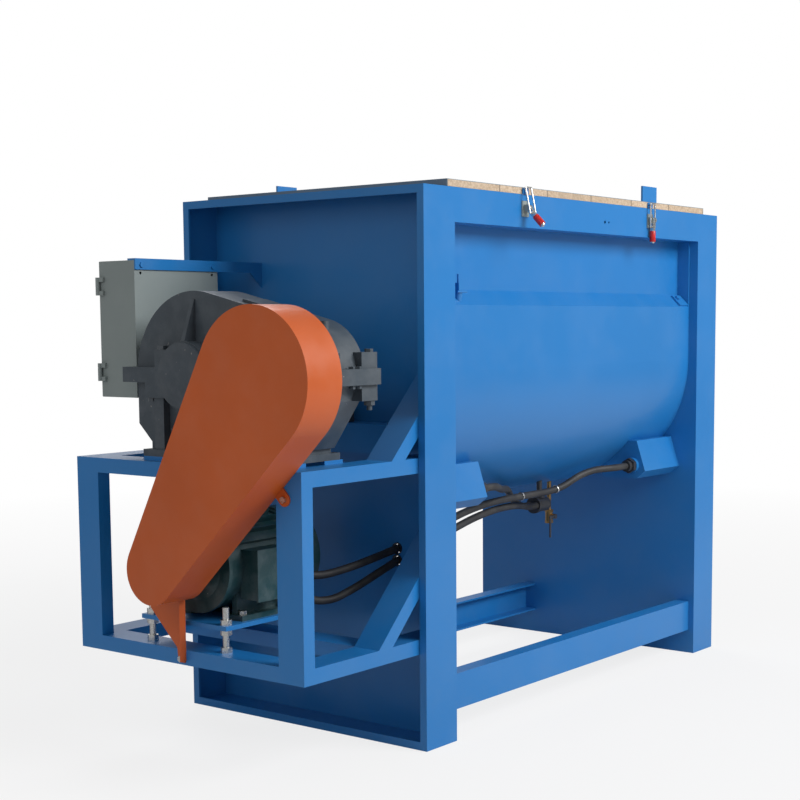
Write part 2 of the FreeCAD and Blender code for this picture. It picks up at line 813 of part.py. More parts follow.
def slab(front, back, low, high):
    """The corners of a level slab across the shafts."""
    return [(front, low), (back, low), (back, high), (front, high)]


def lugs(z):
    """The two flat lugs at the high-speed end, one at each side of the housing."""
    return [
        box((x, "-centre_distance - 120", z), (60, 80, "lug_height"))
        for x in ("case_x - foot_width / 2", "case_x + foot_width / 2 - 60")
    ]


def side_rib(side):
    """A web that slopes from the big bearing seat up the housing's face."""
    body = new_body("SideRib")
    outline = plane_sketch(body, "XZ_Plane")
    face = f"(case_x + {side} * case_width / 2)"
    corners = [
        (f"{face} - {side} * 4", "shaft_height + big_seat - 30"),
        (f"case_x + {side} * (seat_width / 2 - 1)", "shaft_height + big_seat - 30"),
        (f"case_x + {side} * (seat_width / 2 - 1)", "shaft_height + big_seat - 2"),
        (f"{face} + {side} * 3", "shaft_height + big_dome - 22"),
        (f"{face} - {side} * 4", "shaft_height + big_dome - 22"),
    ]
    draw_outline(outline, corners)
    pad(outline, 13, middle=True)
    return place(body)


foot_bottom = "-centre_height"
lower_wall = [
    ("-455", "0"),
    ("-438", "-lug_height"),
    ("-352", "-182"),
    ("-340", "-182"),
    ("-340", foot_bottom),
    ("167", foot_bottom),
    ("167", "-178"),
    ("216", "-131"),
    ("216", "0"),
]
lower = [
    case_slice("CaseWall", lower_wall, "case_width"),
    case_slice("CaseFoot", slab("-345", "169", foot_bottom, f"{foot_bottom} + foot_sheet"), "foot_width"),
    case_slice("CaseFlange", slab("-flange_front", "flange_back", "-joint_flange", "0"), "foot_width"),
    seats(False),
    *lugs("shaft_height - lug_height"),
    box((f"{CASE_LEFT} + 12", 60, "shaft_height - 60"), ("seat_width - 24", 96, 58)),
    box((f"{CASE_LEFT} + 12", -132, "shaft_height - 60"), ("seat_width - 24", 44, 58)),
    box((f"{CASE_LEFT} + 22", -300, "shaft_height - 60"), ("seat_width - 44", 44, 58)),
]
for y, thick in ((-206, 12), (96, 36)):
    rib_z = "shaft_height - centre_height + 10"
    lower.append(box(("case_x - foot_width / 2 + 8", y, rib_z),
                     ("foot_width - 16", thick, "centre_height - 60")))
node("reducer_lower_case", cut(fuse(*lower), *shaft_bores()))

lean = "((big_dome - small_dome) / small_dome_y)"
rise = "(sqrt(1 - ((big_dome - small_dome) / small_dome_y) ^ 2))"
dome = [
    ("big_dome", "0", "0", "0", 1),
    (f"-big_dome * {lean}", f"big_dome * {rise}"),
    (f"-small_dome_y - small_dome * {lean}", f"small_dome * {rise}", "-small_dome_y", "0", 1),
    ("-small_dome_y - small_dome", "0"),
]
upper = [
    case_slice("CaseDome", dome, "case_width"),
    case_slice("CaseUpperFlange", slab("-flange_front", "flange_back", "0", "joint_flange"), "foot_width"),
    seats(True),
    *lugs("shaft_height"),
    side_rib(-1),
    side_rib(1),
    box((f"{CASE_LEFT} + 12", -118, "shaft_height + 2"), ("seat_width - 24", 236, 64)),
    box((f"{CASE_LEFT} + 22", -300, "shaft_height + 2"), ("seat_width - 44", 44, 56)),
]
node("reducer_upper_case", cut(fuse(*upper), *shaft_bores()))


def bearing_cap(x, y, radius, hole=None):
    """A plain disc over one end of a bearing seat, bored where a shaft passes."""
    disc = rod((x, y, "shaft_height"), f"{radius} - 4", 8)
    if hole:
        return cut(disc, rod((f"{x} - 1", y, "shaft_height"), f"{hole} + running_gap", 10))
    return disc


caps = []
for index, (y, radius) in enumerate(AXES):
    caps.append(bearing_cap(f"{CASE_LEFT} - 8", y, radius, "input_radius" if index == 2 else None))
    caps.append(bearing_cap(CASE_RIGHT, y, radius, "output_radius" if index == 0 else None))
# a low inspection cover lies on the sloping top and a small breather stands behind it
cover_length = 100
cover = box(("case_x - 42", "0", "0"), (84, cover_length, 7))
place(
    cover,
    "case_x - 42",
    f"-small_dome_y / 2 - (big_dome + small_dome) / 2 * {lean} - {cover_length / 2} * {rise}",
    f"shaft_height + (big_dome + small_dome) / 2 * {rise} - {cover_length / 2} * {lean}",
    Rotation(Vector(1, 0, 0), math.degrees(math.asin(number(lean)))),
)
breather = cut(
    rod(("case_x", "-small_dome_y - 76", "shaft_height + small_dome - 40"), 11, 32, "Z"),
    case_slice("DomeCopy", dome, "case_width"),
)
node("reducer_caps", group(*caps, cover, breather))

bolts = []
for x in ("case_x - foot_width / 2 + 13", "case_x + foot_width / 2 - 13"):
    bolts.append(hexagon((x, -454, "shaft_height + lug_height"), 19, 8, "Z"))
    bolts.append(hexagon((x, -454, "shaft_height - lug_height - 12"), 24, 12, "Z"))
    bolts.append(rod((x, -454, "shaft_height - lug_height - 24"), 7, 12, "Z"))
    bolts.append(hexagon((x, 102, "shaft_height + 66"), 24, 10, "Z"))
    bolts.append(hexagon((x, 145, "shaft_height - 70"), 19, 10, "Z"))
for x in ("case_x + 4", "case_x + foot_width / 2 - 71"):
    bolts.append(hexagon((x, -469, "shaft_height - joint_flange - 9"), 14, 9, "Z"))
    bolts.append(hexagon((x, -469, "shaft_height + joint_flange"), 14, 6, "Z"))

# packing strips under the reducer's feet carry its weight on the cross beams
for x in ("-cage_face + 33", REAR_FOOT):
    cage_tubes.append(box((x, -345, "cage_top"), ("tube_wide - 14", 514, "packing")))
node("cage_tubes", group(*cage_tubes))

low_speed = rod((f"{CASE_LEFT} + 20", "0", "shaft_height"),
                "output_radius", f"coupling_x - 2 - ({CASE_LEFT} + 20)")
node("output_shaft", low_speed)


def coupling_half(x, disc_x, radius):
    hub = rod((x, "0", "shaft_height"), 58, 60)
    disc = rod((disc_x, "0", "shaft_height"), 92, 20)
    holes = [rod((f"{x} - 10", "0", "shaft_height"), radius, 90)]
    return cut(fuse(hub, disc), *holes)


halves = [
    coupling_half("coupling_x - 62", "coupling_x - 22", "output_radius"),
    coupling_half("coupling_x + 2", "coupling_x + 2", "shaft_radius"),
]
pins = []
for step in range(6):
    angle = math.radians(60 * step)
    y, z = f"75 * {round(math.cos(angle), 6)}", f"shaft_height + 75 * {round(math.sin(angle), 6)}"
    pins.append(hexagon(("coupling_x - 34", y, z), 19, 12))
    pins.append(hexagon(("coupling_x + 22", y, z), 19, 12))
cushion = rod(("coupling_x - 2", "0", "shaft_height"), 86, 4)
node("shaft_coupling", group(*halves, *pins, cushion))
input_reach = f"{CASE_LEFT} + 140 - (pulley_x - 38)"
node("input_shaft", rod(("pulley_x - 38", "-centre_distance", "shaft_height"), "input_radius", input_reach))

# ------------------------------------------------------------------ belt drive and guard

BELTS = (-1, 0, 1)


def pulley(y, z, radius, bore):
    """A grooved wheel with a web thinner than its rim and a hub on its shaft."""
    rim = rod(("pulley_x - pulley_width / 2", y, z), radius, "pulley_width")
    cuts = [rod(("pulley_x - pulley_width / 2 - 1", y, z), bore, "pulley_width + 2")]
    for belt in BELTS:
        x = f"pulley_x + {belt} * groove_pitch - belt_width / 2"
        ring = rod((x, y, z), f"{radius} + 5", "belt_width")
        cuts.append(cut(ring, rod((x, y, z), f"{radius} - belt_depth", "belt_width")))
    if radius == "input_pulley_radius":
        for start in ("pulley_x - pulley_width / 2", "pulley_x + 12"):
            dish = rod((start, y, z), f"{radius} - 30", "pulley_width / 2 - 12")
            cuts.append(cut(dish, rod((start, y, z), f"{bore} + 22", "pulley_width / 2 - 12")))
    return cut(rim, *cuts)


TOP = ("-centre_distance", "shaft_height")
LOW = ("motor_y", "motor_axis_z")
node("input_pulley", pulley(*TOP, "input_pulley_radius", "input_radius"))
node("motor_pulley", pulley(*LOW, "motor_pulley_radius", "motor_shaft_radius"))


def belt(index):
    body = new_body("Belt")
    depth = "belt_depth - gap"
    for part, less in ((pad, "-1"), (pocket, depth)):
        outline = plane_sketch(body, "YZ_Plane")
        draw_wrap(outline, (*TOP, f"input_pulley_radius - ({less})"),
                  (*LOW, f"motor_pulley_radius - ({less})"))
        if part is pad:
            pad(outline, "belt_width - 2 * gap", middle=True)
        else:
            pocket(outline, "belt_width", middle=True)
    return place(body, f"pulley_x + {index} * groove_pitch")


node("drive_belts", group(*[belt(i) for i in BELTS]))


GUARD_TOP = ("-centre_distance - guard_top_shift", "shaft_height - 2")
GUARD_LOW = ("motor_y - guard_low_shift", "motor_axis_z + guard_low_rise")


def guard_case():
    body = new_body("GuardCase")
    outside = plane_sketch(body, "YZ_Plane")
    draw_wrap(outside, (*GUARD_TOP, "guard_top_radius"), (*GUARD_LOW, "guard_low_radius"))
    pad(outside, "guard_depth")
    inside = plane_sketch(body, "YZ_Plane", offset="guard_sheet")
    upper_round = (*GUARD_TOP, "guard_top_radius - guard_sheet")
    lower_round = (*GUARD_LOW, "guard_low_radius - guard_sheet")
    draw_wrap(inside, upper_round, lower_round)
    pocket(inside, "guard_depth")
    return place(body, "-guard_face")


def guard_plate(name, corners):
    """A flat piece welded to the guard's rear edge and bolted to the cage's face."""
    body = new_body(name)
    outline = plane_sketch(body, "YZ_Plane")
    draw_outline(outline, corners)
    pad(outline, 5)
    return place(body, "-cage_face - 5")


leg = guard_plate(
    "GuardLeg",
    [
        ("-9", f"{GUARD_LOW[1]} - guard_low_radius + 25"),
        ("-9", "cage_base + 7"),
        ("13", "cage_base + 7"),
        ("17", "cage_base + 45"),
        ("115", "cage_base + 141"),
        ("60", "motor_axis_z"),
    ],
)
leg_reach = "motor_axis_z - guard_low_radius - cage_base + 5"
leg_fold = box(("-cage_face - 21", "-11", "cage_base + 12"), (21, 2, leg_reach))
# the ear stands 24 mm out from the guard's lower edge
TAB_Y = "(-centre_distance - guard_top_shift - 0.6994 * (guard_top_radius + 24) + 150)"
TAB_Z = "(shaft_height - 2 - 0.7147 * (guard_top_radius + 24) - 146)"
ear_corners = [(12, -12), (48, 24), (24, 48), (-12, 12)]
ear = guard_plate("GuardEar", [(f"{TAB_Y} + {y}", f"{TAB_Z} + {z}") for y, z in ear_corners])
ear_end = rod(("-cage_face - 5", TAB_Y, TAB_Z), 16.97, 5)
node("belt_guard", fuse(guard_case(), leg, leg_fold, ear, ear_end))
guard_bolts = [hexagon(("-cage_face - 12", y, z), 15, 7)
               for y, z in (("2", "cage_base + 17"), (TAB_Y, TAB_Z))]
node("drive_bolts", group(*bolts))

# ------------------------------------------------------------------ motor


def motor_frame():
    core = rod(("motor_front", *LOW), "motor_body_radius", "motor_body_length")
    parts = [core]
    for step in range(24):
        angle = 15 * step
        if 150 < angle < 315:
            continue
        radians = math.radians(angle)
        c, s = math.cos(radians), math.sin(radians)
        fin = doc.addObject("Part::Box", "Fin")
        bind(fin, Length="motor_body_length - 40", Width="motor_fin_radius - motor_body_radius + 5", Height=4)
        turn = Rotation(Vector(1, 0, 0), angle)
        reach = "(motor_body_radius - 5)"
        y = f"motor_y + {reach} * {c} + 2 * {s}"
        z = f"motor_axis_z + {reach} * {s} - 2 * {c}"
        parts.append(place(fin, "motor_front + 20", y, z, turn))
    for side in SIDES:
        y = f"motor_y + {side} * 95 - 30"
        parts.append(box(("motor_front + 30", y, "motor_plate_top"), ("motor_body_length - 60", 60, 14)))
        leg = f"motor_y + {side} * 88 - 9"
        parts.append(box(("motor_front + 40", leg, "motor_plate_top + 5"),
                         ("motor_body_length - 80", 18, 70)))
    bore = rod(("motor_front - 1", *LOW), "motor_shaft_radius + running_gap", 61)
    return cut(fuse(*parts), bore)


node("motor_frame", motor_frame())
shield = fuse(
    rod(("motor_front - 12", *LOW), "motor_body_radius + 6", 12),
    cone(("motor_front - 24", *LOW), 52, 90, 12),
)
cowl = fuse(
    rod(("motor_rear", *LOW), "motor_body_radius + 6", 12),
    rod(("motor_rear + 12", *LOW), "motor_body_radius + 12", 70),
    cone(("motor_rear + 82", *LOW), "motor_body_radius + 12", "motor_body_radius - 10", 14),
)
shield_bore = rod(("motor_front - 30", *LOW), "motor_shaft_radius + running_gap", 40)
node("motor_covers", group(cut(shield, shield_bore), cowl))
box_x = "motor_front + 45"
lid_y = "motor_y - motor_body_radius - 54"
terminal = [
    box((box_x, f"{lid_y} + 6", "motor_axis_z - 84"), (120, 60, 130)),
    box((f"{box_x} - 3", lid_y, "motor_axis_z - 87"), (126, 6, 136)),
]
terminal_bites = cut(terminal[0], rod(("motor_front", *LOW), "motor_body_radius", "motor_body_length"))
node("terminal_box", group(terminal_bites, terminal[1]))
motor_shaft = rod(("pulley_x - 33", *LOW), "motor_shaft_radius", "motor_front + 55 - (pulley_x - 33)")
node("motor_shaft", motor_shaft)


STUDS = [
    (x, y, top)
    for x in ("stud_front", "stud_front + stud_spread_x")
    for y, top in (("plate_y - stud_spread_y / 2", 46), ("plate_y + stud_spread_y / 2", 20))
]
plate = box(
    ("stud_front - 20", "plate_y - stud_spread_y / 2 - 20", "motor_plate_top - motor_plate_sheet"),
    ("stud_spread_x + 40", "stud_spread_y + 40", "motor_plate_sheet"),
)
plate_holes = [rod((x, y, "motor_plate_top - 30"), "stud_radius", 40, "Z") for x, y, top in STUDS]
node("motor_plate", cut(plate, *plate_holes))
BEAM_TOP = "(cage_base + tube_narrow)"
studs = []
for x, y, top in STUDS:
    studs.append(rod((x, y, BEAM_TOP), "stud_radius", f"motor_plate_top + {top} - {BEAM_TOP}", "Z"))
    for z in (BEAM_TOP, "motor_plate_top - motor_plate_sheet - 14", "motor_plate_top"):
        nut = hexagon((x, y, z), 27, 14, "Z")
        studs.append(cut(nut, rod((x, y, f"{z} - 1"), "stud_radius", 16, "Z")))
feet_bolts = [
    hexagon((x, f"motor_y + {side} * 107", "motor_plate_top + 14"), 19, 10, "Z")
    for x in ("motor_front + 50", "motor_rear - 50")
    for side in SIDES
]
node("cage_fasteners", group(*studs, *feet_bolts, *guard_bolts))

# ------------------------------------------------------------------ shaft bearings

shelves, blocks = [], []
for side in SIDES:
    shelf_x = "-plate_face - bearing_shelf_depth" if side < 0 else "plate_face"
    shelf_z = "bearing_shelf_top - bearing_shelf_depth"
    shelf_size = ("bearing_shelf_depth", "bearing_shelf_width", "bearing_shelf_depth")
    shelves.append(tube((shelf_x, "-bearing_shelf_width / 2", shelf_z), shelf_size, "Y"))
    middle = f"{side} * (plate_face + bearing_shelf_depth / 2 + 5)"
    block = fuse(
        box((f"{middle} - 25", "-110", "bearing_shelf_top"), (50, 220, 40)),
        box((f"{middle} - 22", "-100", "bearing_shelf_top + 40"), (44, 200, 20)),
        box((f"{middle} - 22", "-48", "bearing_shelf_top + 60"),
            (44, 96, "shaft_height - bearing_shelf_top - 60")),
        rod((f"{middle} - 22", "0", "shaft_height"), 64, 44),
        rod((f"{middle} - 26", "0", "shaft_height"), 50, 52),
    )
    bore = rod((f"{middle} - 30", "0", "shaft_height"), "shaft_radius + running_gap", 60)
    blocks.append(cut(block, bore))
    for y in (-80, 80):
        blocks.append(hexagon((middle, y, "bearing_shelf_top + 60"), 24, 14, "Z"))
    ring_x = "-plate_face - 10" if side < 0 else "plate_face"
    ring = rod((ring_x, "0", "shaft_height"), 66, 10)
    ring_bore = rod((f"{ring_x} - 1", "0", "shaft_height"), "shaft_radius + running_gap", 12)
    blocks.append(cut(ring, ring_bore))
node("bearing_shelves", group(*shelves))
node("bearing_blocks", group(*blocks))

# ------------------------------------------------------------------ agitator

STATIONS = 9
SPAN = f"ribbon_length / {STATIONS - 1}"
shaft_reach = "plate_face + 95 - (coupling_x + 2)"
node("agitator_shaft", rod(("coupling_x + 2", "0", "shaft_height"), "shaft_radius", shaft_reach))
spokes = []
for index in range(STATIONS):
    x = f"-ribbon_length / 2 + {index} * {SPAN}"
    reach = "ribbon_radius - ribbon_width - 0.5"
    if index % 2:
        bar = rod((x, f"-({reach})", "shaft_height"), "spoke_radius", f"2 * ({reach})", "Y")
    else:
        bar = rod((x, "0", f"shaft_height - ({reach})"), "spoke_radius", f"2 * ({reach})", "Z")
    collar = rod((f"{x} - 16", "0", "shaft_height"), "shaft_radius + 12", 32)
    core = rod((f"{x} - 20", "0", "shaft_height"), "shaft_radius", 40)
    spokes.append(cut(fuse(bar, collar), core))
node("ribbon_spokes", group(*spokes))


def ribbon_piece(start, length, angle, outer, width, left_handed):
    """One stretch of a helical blade of rectangular section, wound round the shaft."""
    body = new_body("Ribbon")
    section = plane_sketch(body, "XZ_Plane")
    draw_rectangle(section, f"{outer} - {width}", "-ribbon_sheet / 2", width, "ribbon_sheet")
    helix = body.newObject("PartDesign::AdditiveHelix", "Blade")
    helix.Profile = section
    helix.ReferenceAxis = (section, ["V_Axis"])
    helix.Mode = 0
    bind(helix, Pitch="ribbon_pitch", Height=length)
    helix.LeftHanded = left_handed
    turn = Rotation(Vector(1, 0, 0), angle) * ALONG["X"]
    return place(body, start, z="shaft_height", turn=turn)


def ribbon(starts_at, length, pieces, outer, width, left_handed):
    """Two blades half a turn apart, each made of equal stretches welded end to end."""
    stretch = f"({length}) / {pieces}"
    quarter = 360 * number(stretch) / number("ribbon_pitch")
    hand = -1 if left_handed else 1
    return [
        ribbon_piece(
            f"{starts_at} + {i} * {stretch}", stretch, first + hand * i * quarter, outer, width, left_handed
        )
        for first in (0, 180)
        for i in range(pieces)
    ]


SIDE_STEP = "(spoke_radius + ribbon_sheet / 2 + 3)"  # the inner blades pass beside the spokes
outer_blades = ribbon("-ribbon_length / 2", "ribbon_length", 8, "ribbon_radius", "ribbon_width", False)
inner_blades = ribbon(
    f"-ribbon_length / 2 + {SIDE_STEP}",
    f"ribbon_length - 2 * {SIDE_STEP}",
    8,
    "inner_ribbon_radius",
    "inner_ribbon_width",
    True,
)
node("outer_ribbon", group(*outer_blades))
node("inner_ribbon", group(*inner_blades))

# ------------------------------------------------------------------ control cabinet

CABINET_X = "(-plate_face - cabinet_end)"
CABINET_Z = "(cabinet_top - cabinet_height)"
BACK = "(cabinet_y + cabinet_depth)"


def cabinet_body():
    """A sheet box open at the back, with a narrow lip round the doorway."""
    outside = box((CABINET_X, "cabinet_y", CABINET_Z), ("cabinet_length", "cabinet_depth", "cabinet_height"))
    inside = box(
        (f"{CABINET_X} + 2", "cabinet_y + 2", f"{CABINET_Z} + 2"),
        ("cabinet_length - 4", "cabinet_depth - 4", "cabinet_height - 4"),
    )
    doorway = box(
        (f"{CABINET_X} + 14", f"{BACK} - 5", f"{CABINET_Z} + 14"),
        ("cabinet_length - 28", 10, "cabinet_height - 28"),
    )
    screw_holes = [
        rod((f"{CABINET_X} + {along}", "cabinet_y - 1", "cabinet_top - 34"), 4, 4, "Y")
        for along in (22, "cabinet_length - 22")
    ]
    return cut(outside, inside, doorway, *screw_holes)


DOOR_Y = f"({BACK} + gap)"
HINGE = (f"({CABINET_X} - 7)", f"({BACK} + 1.5)")
KNUCKLES = ("cabinet_top - 80", f"{CABINET_Z} + 56")  # the foot of each hinge's moving knuckle
hinge_parts, moving_knuckles, hinge_bores = [], [], []
for foot in KNUCKLES:
    for start in (-12.3, 24.3):
        z = f"{foot} + ({start})"
        eye = fuse(
            rod((*HINGE, z), 6, 12, "Z"),
            box((f"{HINGE[0]} - 1", f"{BACK} - 20", z), (8, 21, 12)),
        )
        hinge_parts.append(cut(eye, rod((*HINGE, f"{z} - 1"), 3, 14, "Z")))
    hinge_parts.append(rod((*HINGE, f"{foot} - 12.3"), 3, 48.6, "Z"))
    moving_knuckles.append(rod((*HINGE, foot), 6, 24, "Z"))
    moving_knuckles.append(box((HINGE[0], DOOR_Y, foot), (14, 3, 24)))
    hinge_bores.append(rod((*HINGE, f"{foot} - 1"), "3 + running_gap", 26, "Z"))
BUTTONS = {"start_button": 110, "stop_button": 160}
LOCK_X = f"({CABINET_X} + cabinet_length - 36)"
door = box((f"{CABINET_X} + 1", DOOR_Y, f"{CABINET_Z} + 1"), ("cabinet_length - 2", 3, "cabinet_height - 2"))
button_z = "cabinet_top - 90"
door_holes = [
    rod((f"{CABINET_X} + {along}", f"{DOOR_Y} - 1", button_z), "11 + gap", 6, "Y")
    for along in BUTTONS.values()
]
door_holes.append(rod((LOCK_X, f"{DOOR_Y} - 1", "cabinet_top - cabinet_height / 2"), "8 + gap", 6, "Y"))
bezels = []
for along in BUTTONS.values():
    ring = rod((f"{CABINET_X} + {along}", f"{DOOR_Y} + 3", button_z), 17, 5, "Y")
    bezels.append(cut(ring, rod((f"{CABINET_X} + {along}", f"{DOOR_Y} + 2", button_z), "11 + gap", 8, "Y")))
node("cabinet_body", group(cabinet_body(), *hinge_parts))
hung_door = cut(fuse(door, *moving_knuckles), *door_holes, *hinge_bores)
node("cabinet_door", group(hung_door, *bezels))
for name, along in BUTTONS.items():
    stem = rod((f"{CABINET_X} + {along}", f"{DOOR_Y} - 8", button_z), 11, 20, "Y")
    cap = rod((f"{CABINET_X} + {along}", f"{DOOR_Y} + 12", button_z), 15, 6, "Y")
    node(name, fuse(stem, cap))
lock_z = "cabinet_top - cabinet_height / 2"
node(
    "cabinet_lock",
    fuse(
        rod((LOCK_X, f"{DOOR_Y} - 14", lock_z), 8, 24, "Y"),
        rod((LOCK_X, f"{DOOR_Y} + 3.3", lock_z), 14, 7, "Y"),
        box((f"{LOCK_X} - 5", f"{DOOR_Y} + 10", f"{lock_z} - 42"), (10, 6, 54)),
        box((f"{LOCK_X} - 5", f"{DOOR_Y} - 14", f"{lock_z} - 28"), (10, 3, 30)),
    ),
)
# an angle bar carries the cabinet from the end plate, with a gusset under its root
bar_web = box((CABINET_X, "cabinet_y - 5", "cabinet_top - 25"), ("cabinet_end", 5, 30))
bar_shelf = box((CABINET_X, "cabinet_y", "cabinet_top"), ("cabinet_end", 26, 5))
gusset = new_body("BarGusset")
gusset_outline = plane_sketch(gusset, "XZ_Plane")
gusset_corners = [
    ("-plate_face - 48", "cabinet_top - 25"),
    ("-plate_face", "cabinet_top - 68"),
    ("-plate_face", "cabinet_top - 25"),
]
draw_outline(gusset_outline, gusset_corners)
pad(gusset_outline, 5, middle=True)
place(gusset, y="cabinet_y - 2.5")
bracket_parts = [bar_web, bar_shelf, gusset]
for along in (22, "cabinet_length - 22"):
    bracket_parts.append(hexagon((f"{CABINET_X} + {along}", "cabinet_y - 5", "cabinet_top - 12"),
                                  13, 4, "-Y"))
node("cabinet_bracket", group(*bracket_parts))

# ------------------------------------------------------------------ heaters, oil and cables


def heater_box(side):
    """A closed box on the jacket's flank that covers the ends of the heating rods."""
    body = new_body("HeaterBox")
    outline = plane_sketch(body, "YZ_Plane")
    corners = [
        ("-300", "748"),
        ("-350", "748"),
        ("-382.5", "648"),
        ("-350", "622"),
        ("-220", "620"),
        ("-200", "700"),
    ]
    draw_outline(outline, corners)
    pad(outline, "heater_length", middle=True)
    place(body, f"{side} * (plate_inside - heater_length / 2)")
    return cut(body, rod(("-plate_face", "0", "shaft_height"), "jacket_radius + gap", "2 * plate_face"))


GLAND_Y, GLAND_Z = "-335", "666"
GLAND_X = "(plate_inside - heater_length)"
heater_boxes = [heater_box(side) for side in SIDES]
glands, conduits = [], []
for side in SIDES:
    inward = "-X" if side > 0 else "X"
    face = f"{side} * {GLAND_X}"
    boss = rod((face, GLAND_Y, GLAND_Z), 25, 14, inward)
    heater_boxes.append(boss)
    glands.append(hexagon((f"{side} * ({GLAND_X} - 14)", GLAND_Y, GLAND_Z), 44, 16, inward))
    glands.append(rod((f"{side} * ({GLAND_X} - 30)", GLAND_Y, GLAND_Z), 18, 16, inward))
node("heater_boxes", group(*heater_boxes))


def cable(points, radius):
    """A round cable through the points, each corner eased to as large an arc as its two runs allow."""
    spots = [Vector(number(f"{x} + mid_x"), number(f"{y} + mid_y"), number(z)) for x, y, z in points]
    pieces, bends = [], []
    here = spots[0]
    for before, corner, after in zip(spots, spots[1:], spots[2:]):
        first, second = (before - corner), (after - corner)
        shorter = min(first.Length, second.Length)
        first.normalize()
        second.normalize()
        reach = 0.45 * shorter
        start, end = corner + first * reach, corner + second * reach
        half = math.acos(max(-1, min(1, first.dot(second)))) / 2
        to_centre = first + second
        to_centre.normalize()
        centre = corner + to_centre * (reach / math.cos(half))
        bend = centre.distanceToPoint(start)
        bends.append(round(bend))
        middle = centre - to_centre * bend
        pieces.append(Part.makeLine(here, start))
        pieces.append(Part.Arc(start, middle, end).toShape())
        here = end
    pieces.append(Part.makeLine(here, spots[-1]))
    path = Part.Wire(pieces)
    ring = Part.makeCircle(number(radius), spots[0], spots[1] - spots[0])
    swept = path.makePipeShell([Part.Wire([ring])], True, False)
    print("cable", round(path.Length), "mm long, bend radii", bends)
    held = doc.addObject("Part::Feature", "Cable")
    held.Shape = swept
    return held


GLAND_END = f"({GLAND_X} - 46 - gap)"
HOLE_LOW = "cable_hole_z"
HOLE_HIGH = "cable_hole_z + cable_spread"
probe_x, probe_y, probe_z = "170", "-150", "550"
PROBE_HALF = 36
conduits = [
    cable(
        [
            (GLAND_END, GLAND_Y, GLAND_Z),
            ("335", GLAND_Y, GLAND_Z),
            ("262", "-302", "664"),
            ("205", "-278", "648"),
            ("150", "-255", "616"),
            ("85", "-241", "605"),
            ("-5", "-233", "603"),
            ("-110", "-230", "602"),
            ("-230", "-233", "600"),
            ("-350", "-237", "588"),
            ("-470", "-241", "566"),
            ("-585", "-245", "537"),
            ("-plate_inside", "cable_hole_y", HOLE_HIGH),
        ],
        "cable_radius",
    ),
    cable(
        [
            (f"{probe_x} - {PROBE_HALF} - gap", f"{probe_y} - 12", probe_z),
            ("88", f"{probe_y} - 12", probe_z),
            ("10", "-186", "564"),
            ("-75", "-208", "573"),
            ("-180", "-218", "573"),
            ("-300", "-228", "562"),
            ("-420", "-236", "541"),
            ("-540", "-241", "513"),
            ("-610", "-245", "492"),
            ("-plate_inside", "cable_hole_y", HOLE_LOW),
        ],
        "cable_radius",
    ),
    cable(
        [
            (f"-{GLAND_END}", GLAND_Y, GLAND_Z),
            ("-345", GLAND_Y, GLAND_Z),
            ("-250", "-290", "645"),
            ("-155", "-242", "636"),
            ("-75", "-195", "619"),
            ("5", "-155", "580"),
            ("88", f"{probe_y} + 12", probe_z),
            (f"{probe_x} - {PROBE_HALF} - gap", f"{probe_y} + 12", probe_z),
        ],
        "cable_radius",
    ),
]
node("heater_conduit", group(*conduits))
BOX_SIDE_X = "motor_front + 45 + 123"
TERMINAL_Y, TERMINAL_HOLES = "(motor_y - 142)", ("450", "494")
motor_cables = [
    cable(
        [
            ("-plate_face", "cable_hole_y", HOLE_HIGH),
            ("-plate_face - 70", "-229", "501"),
            ("-plate_face - 143", "-200", "480"),
            ("-plate_face - 220", "-162", "463"),
            ("-plate_face - 285", "-145", "472"),
            (f"{BOX_SIDE_X} + 16", TERMINAL_Y, TERMINAL_HOLES[1]),
        ],
        "cable_radius",
    ),
    cable(
        [
            ("-plate_face", "cable_hole_y", HOLE_LOW),
            ("-plate_face - 67", "-232", "457"),
            ("-plate_face - 131", "-200", "420"),
            ("-plate_face - 191", "-172", "393"),
            ("-plate_face - 249", "-152", "396"),
            ("-plate_face - 297", "-142", "424"),
            (f"{BOX_SIDE_X} + 16", TERMINAL_Y, TERMINAL_HOLES[0]),
        ],
        "cable_radius",
    ),
]
node("motor_cables", group(*motor_cables))
for z in (HOLE_HIGH, HOLE_LOW):
    for x, direction in (("-plate_inside", "X"), ("-plate_face", "-X")):
        collar = rod((x, "cable_hole_y", z), "cable_radius + 5.5", 4, direction)
        passage = rod((x, "cable_hole_y", z), "cable_radius + 3", 4, direction)
        glands.append(cut(collar, passage))
for z in TERMINAL_HOLES:
    collar = rod((f"{BOX_SIDE_X} - 3", TERMINAL_Y, z), "cable_radius + 5", 19)
    glands.append(cut(collar, rod((f"{BOX_SIDE_X} - 4", TERMINAL_Y, z), "cable_radius + 2.5", 22)))
node("cable_glands", group(*glands))


def under_jacket(y):
    """The height of the jacket's underside at a place off the middle."""
    return f"shaft_height - sqrt(jacket_radius ^ 2 - ({y}) ^ 2)"


ball = doc.addObject("Part::Sphere", "ProbeCap")
bind(ball, Radius=24)
place(ball, f"{probe_x} + {PROBE_HALF - 8}", probe_y, probe_z)
probe_top = f"({under_jacket(probe_y)} + 6)"
probe = fuse(
    rod((probe_x, probe_y, probe_z), 9, f"{probe_top} - {probe_z}", "Z"),
    hexagon((probe_x, probe_y, f"{probe_z} + 22"), 30, 12, "Z"),
    rod((f"{probe_x} - {PROBE_HALF - 8}", probe_y, probe_z), 24, f"2 * {PROBE_HALF - 8}"),
    rod((f"{probe_x} - {PROBE_HALF}", probe_y, probe_z), 27, 12),
    ball,
)
jacket_space = rod(("-plate_face", "0", "shaft_height"), "jacket_radius + gap", "2 * plate_face")
node("temperature_probe", cut(probe, jacket_space))

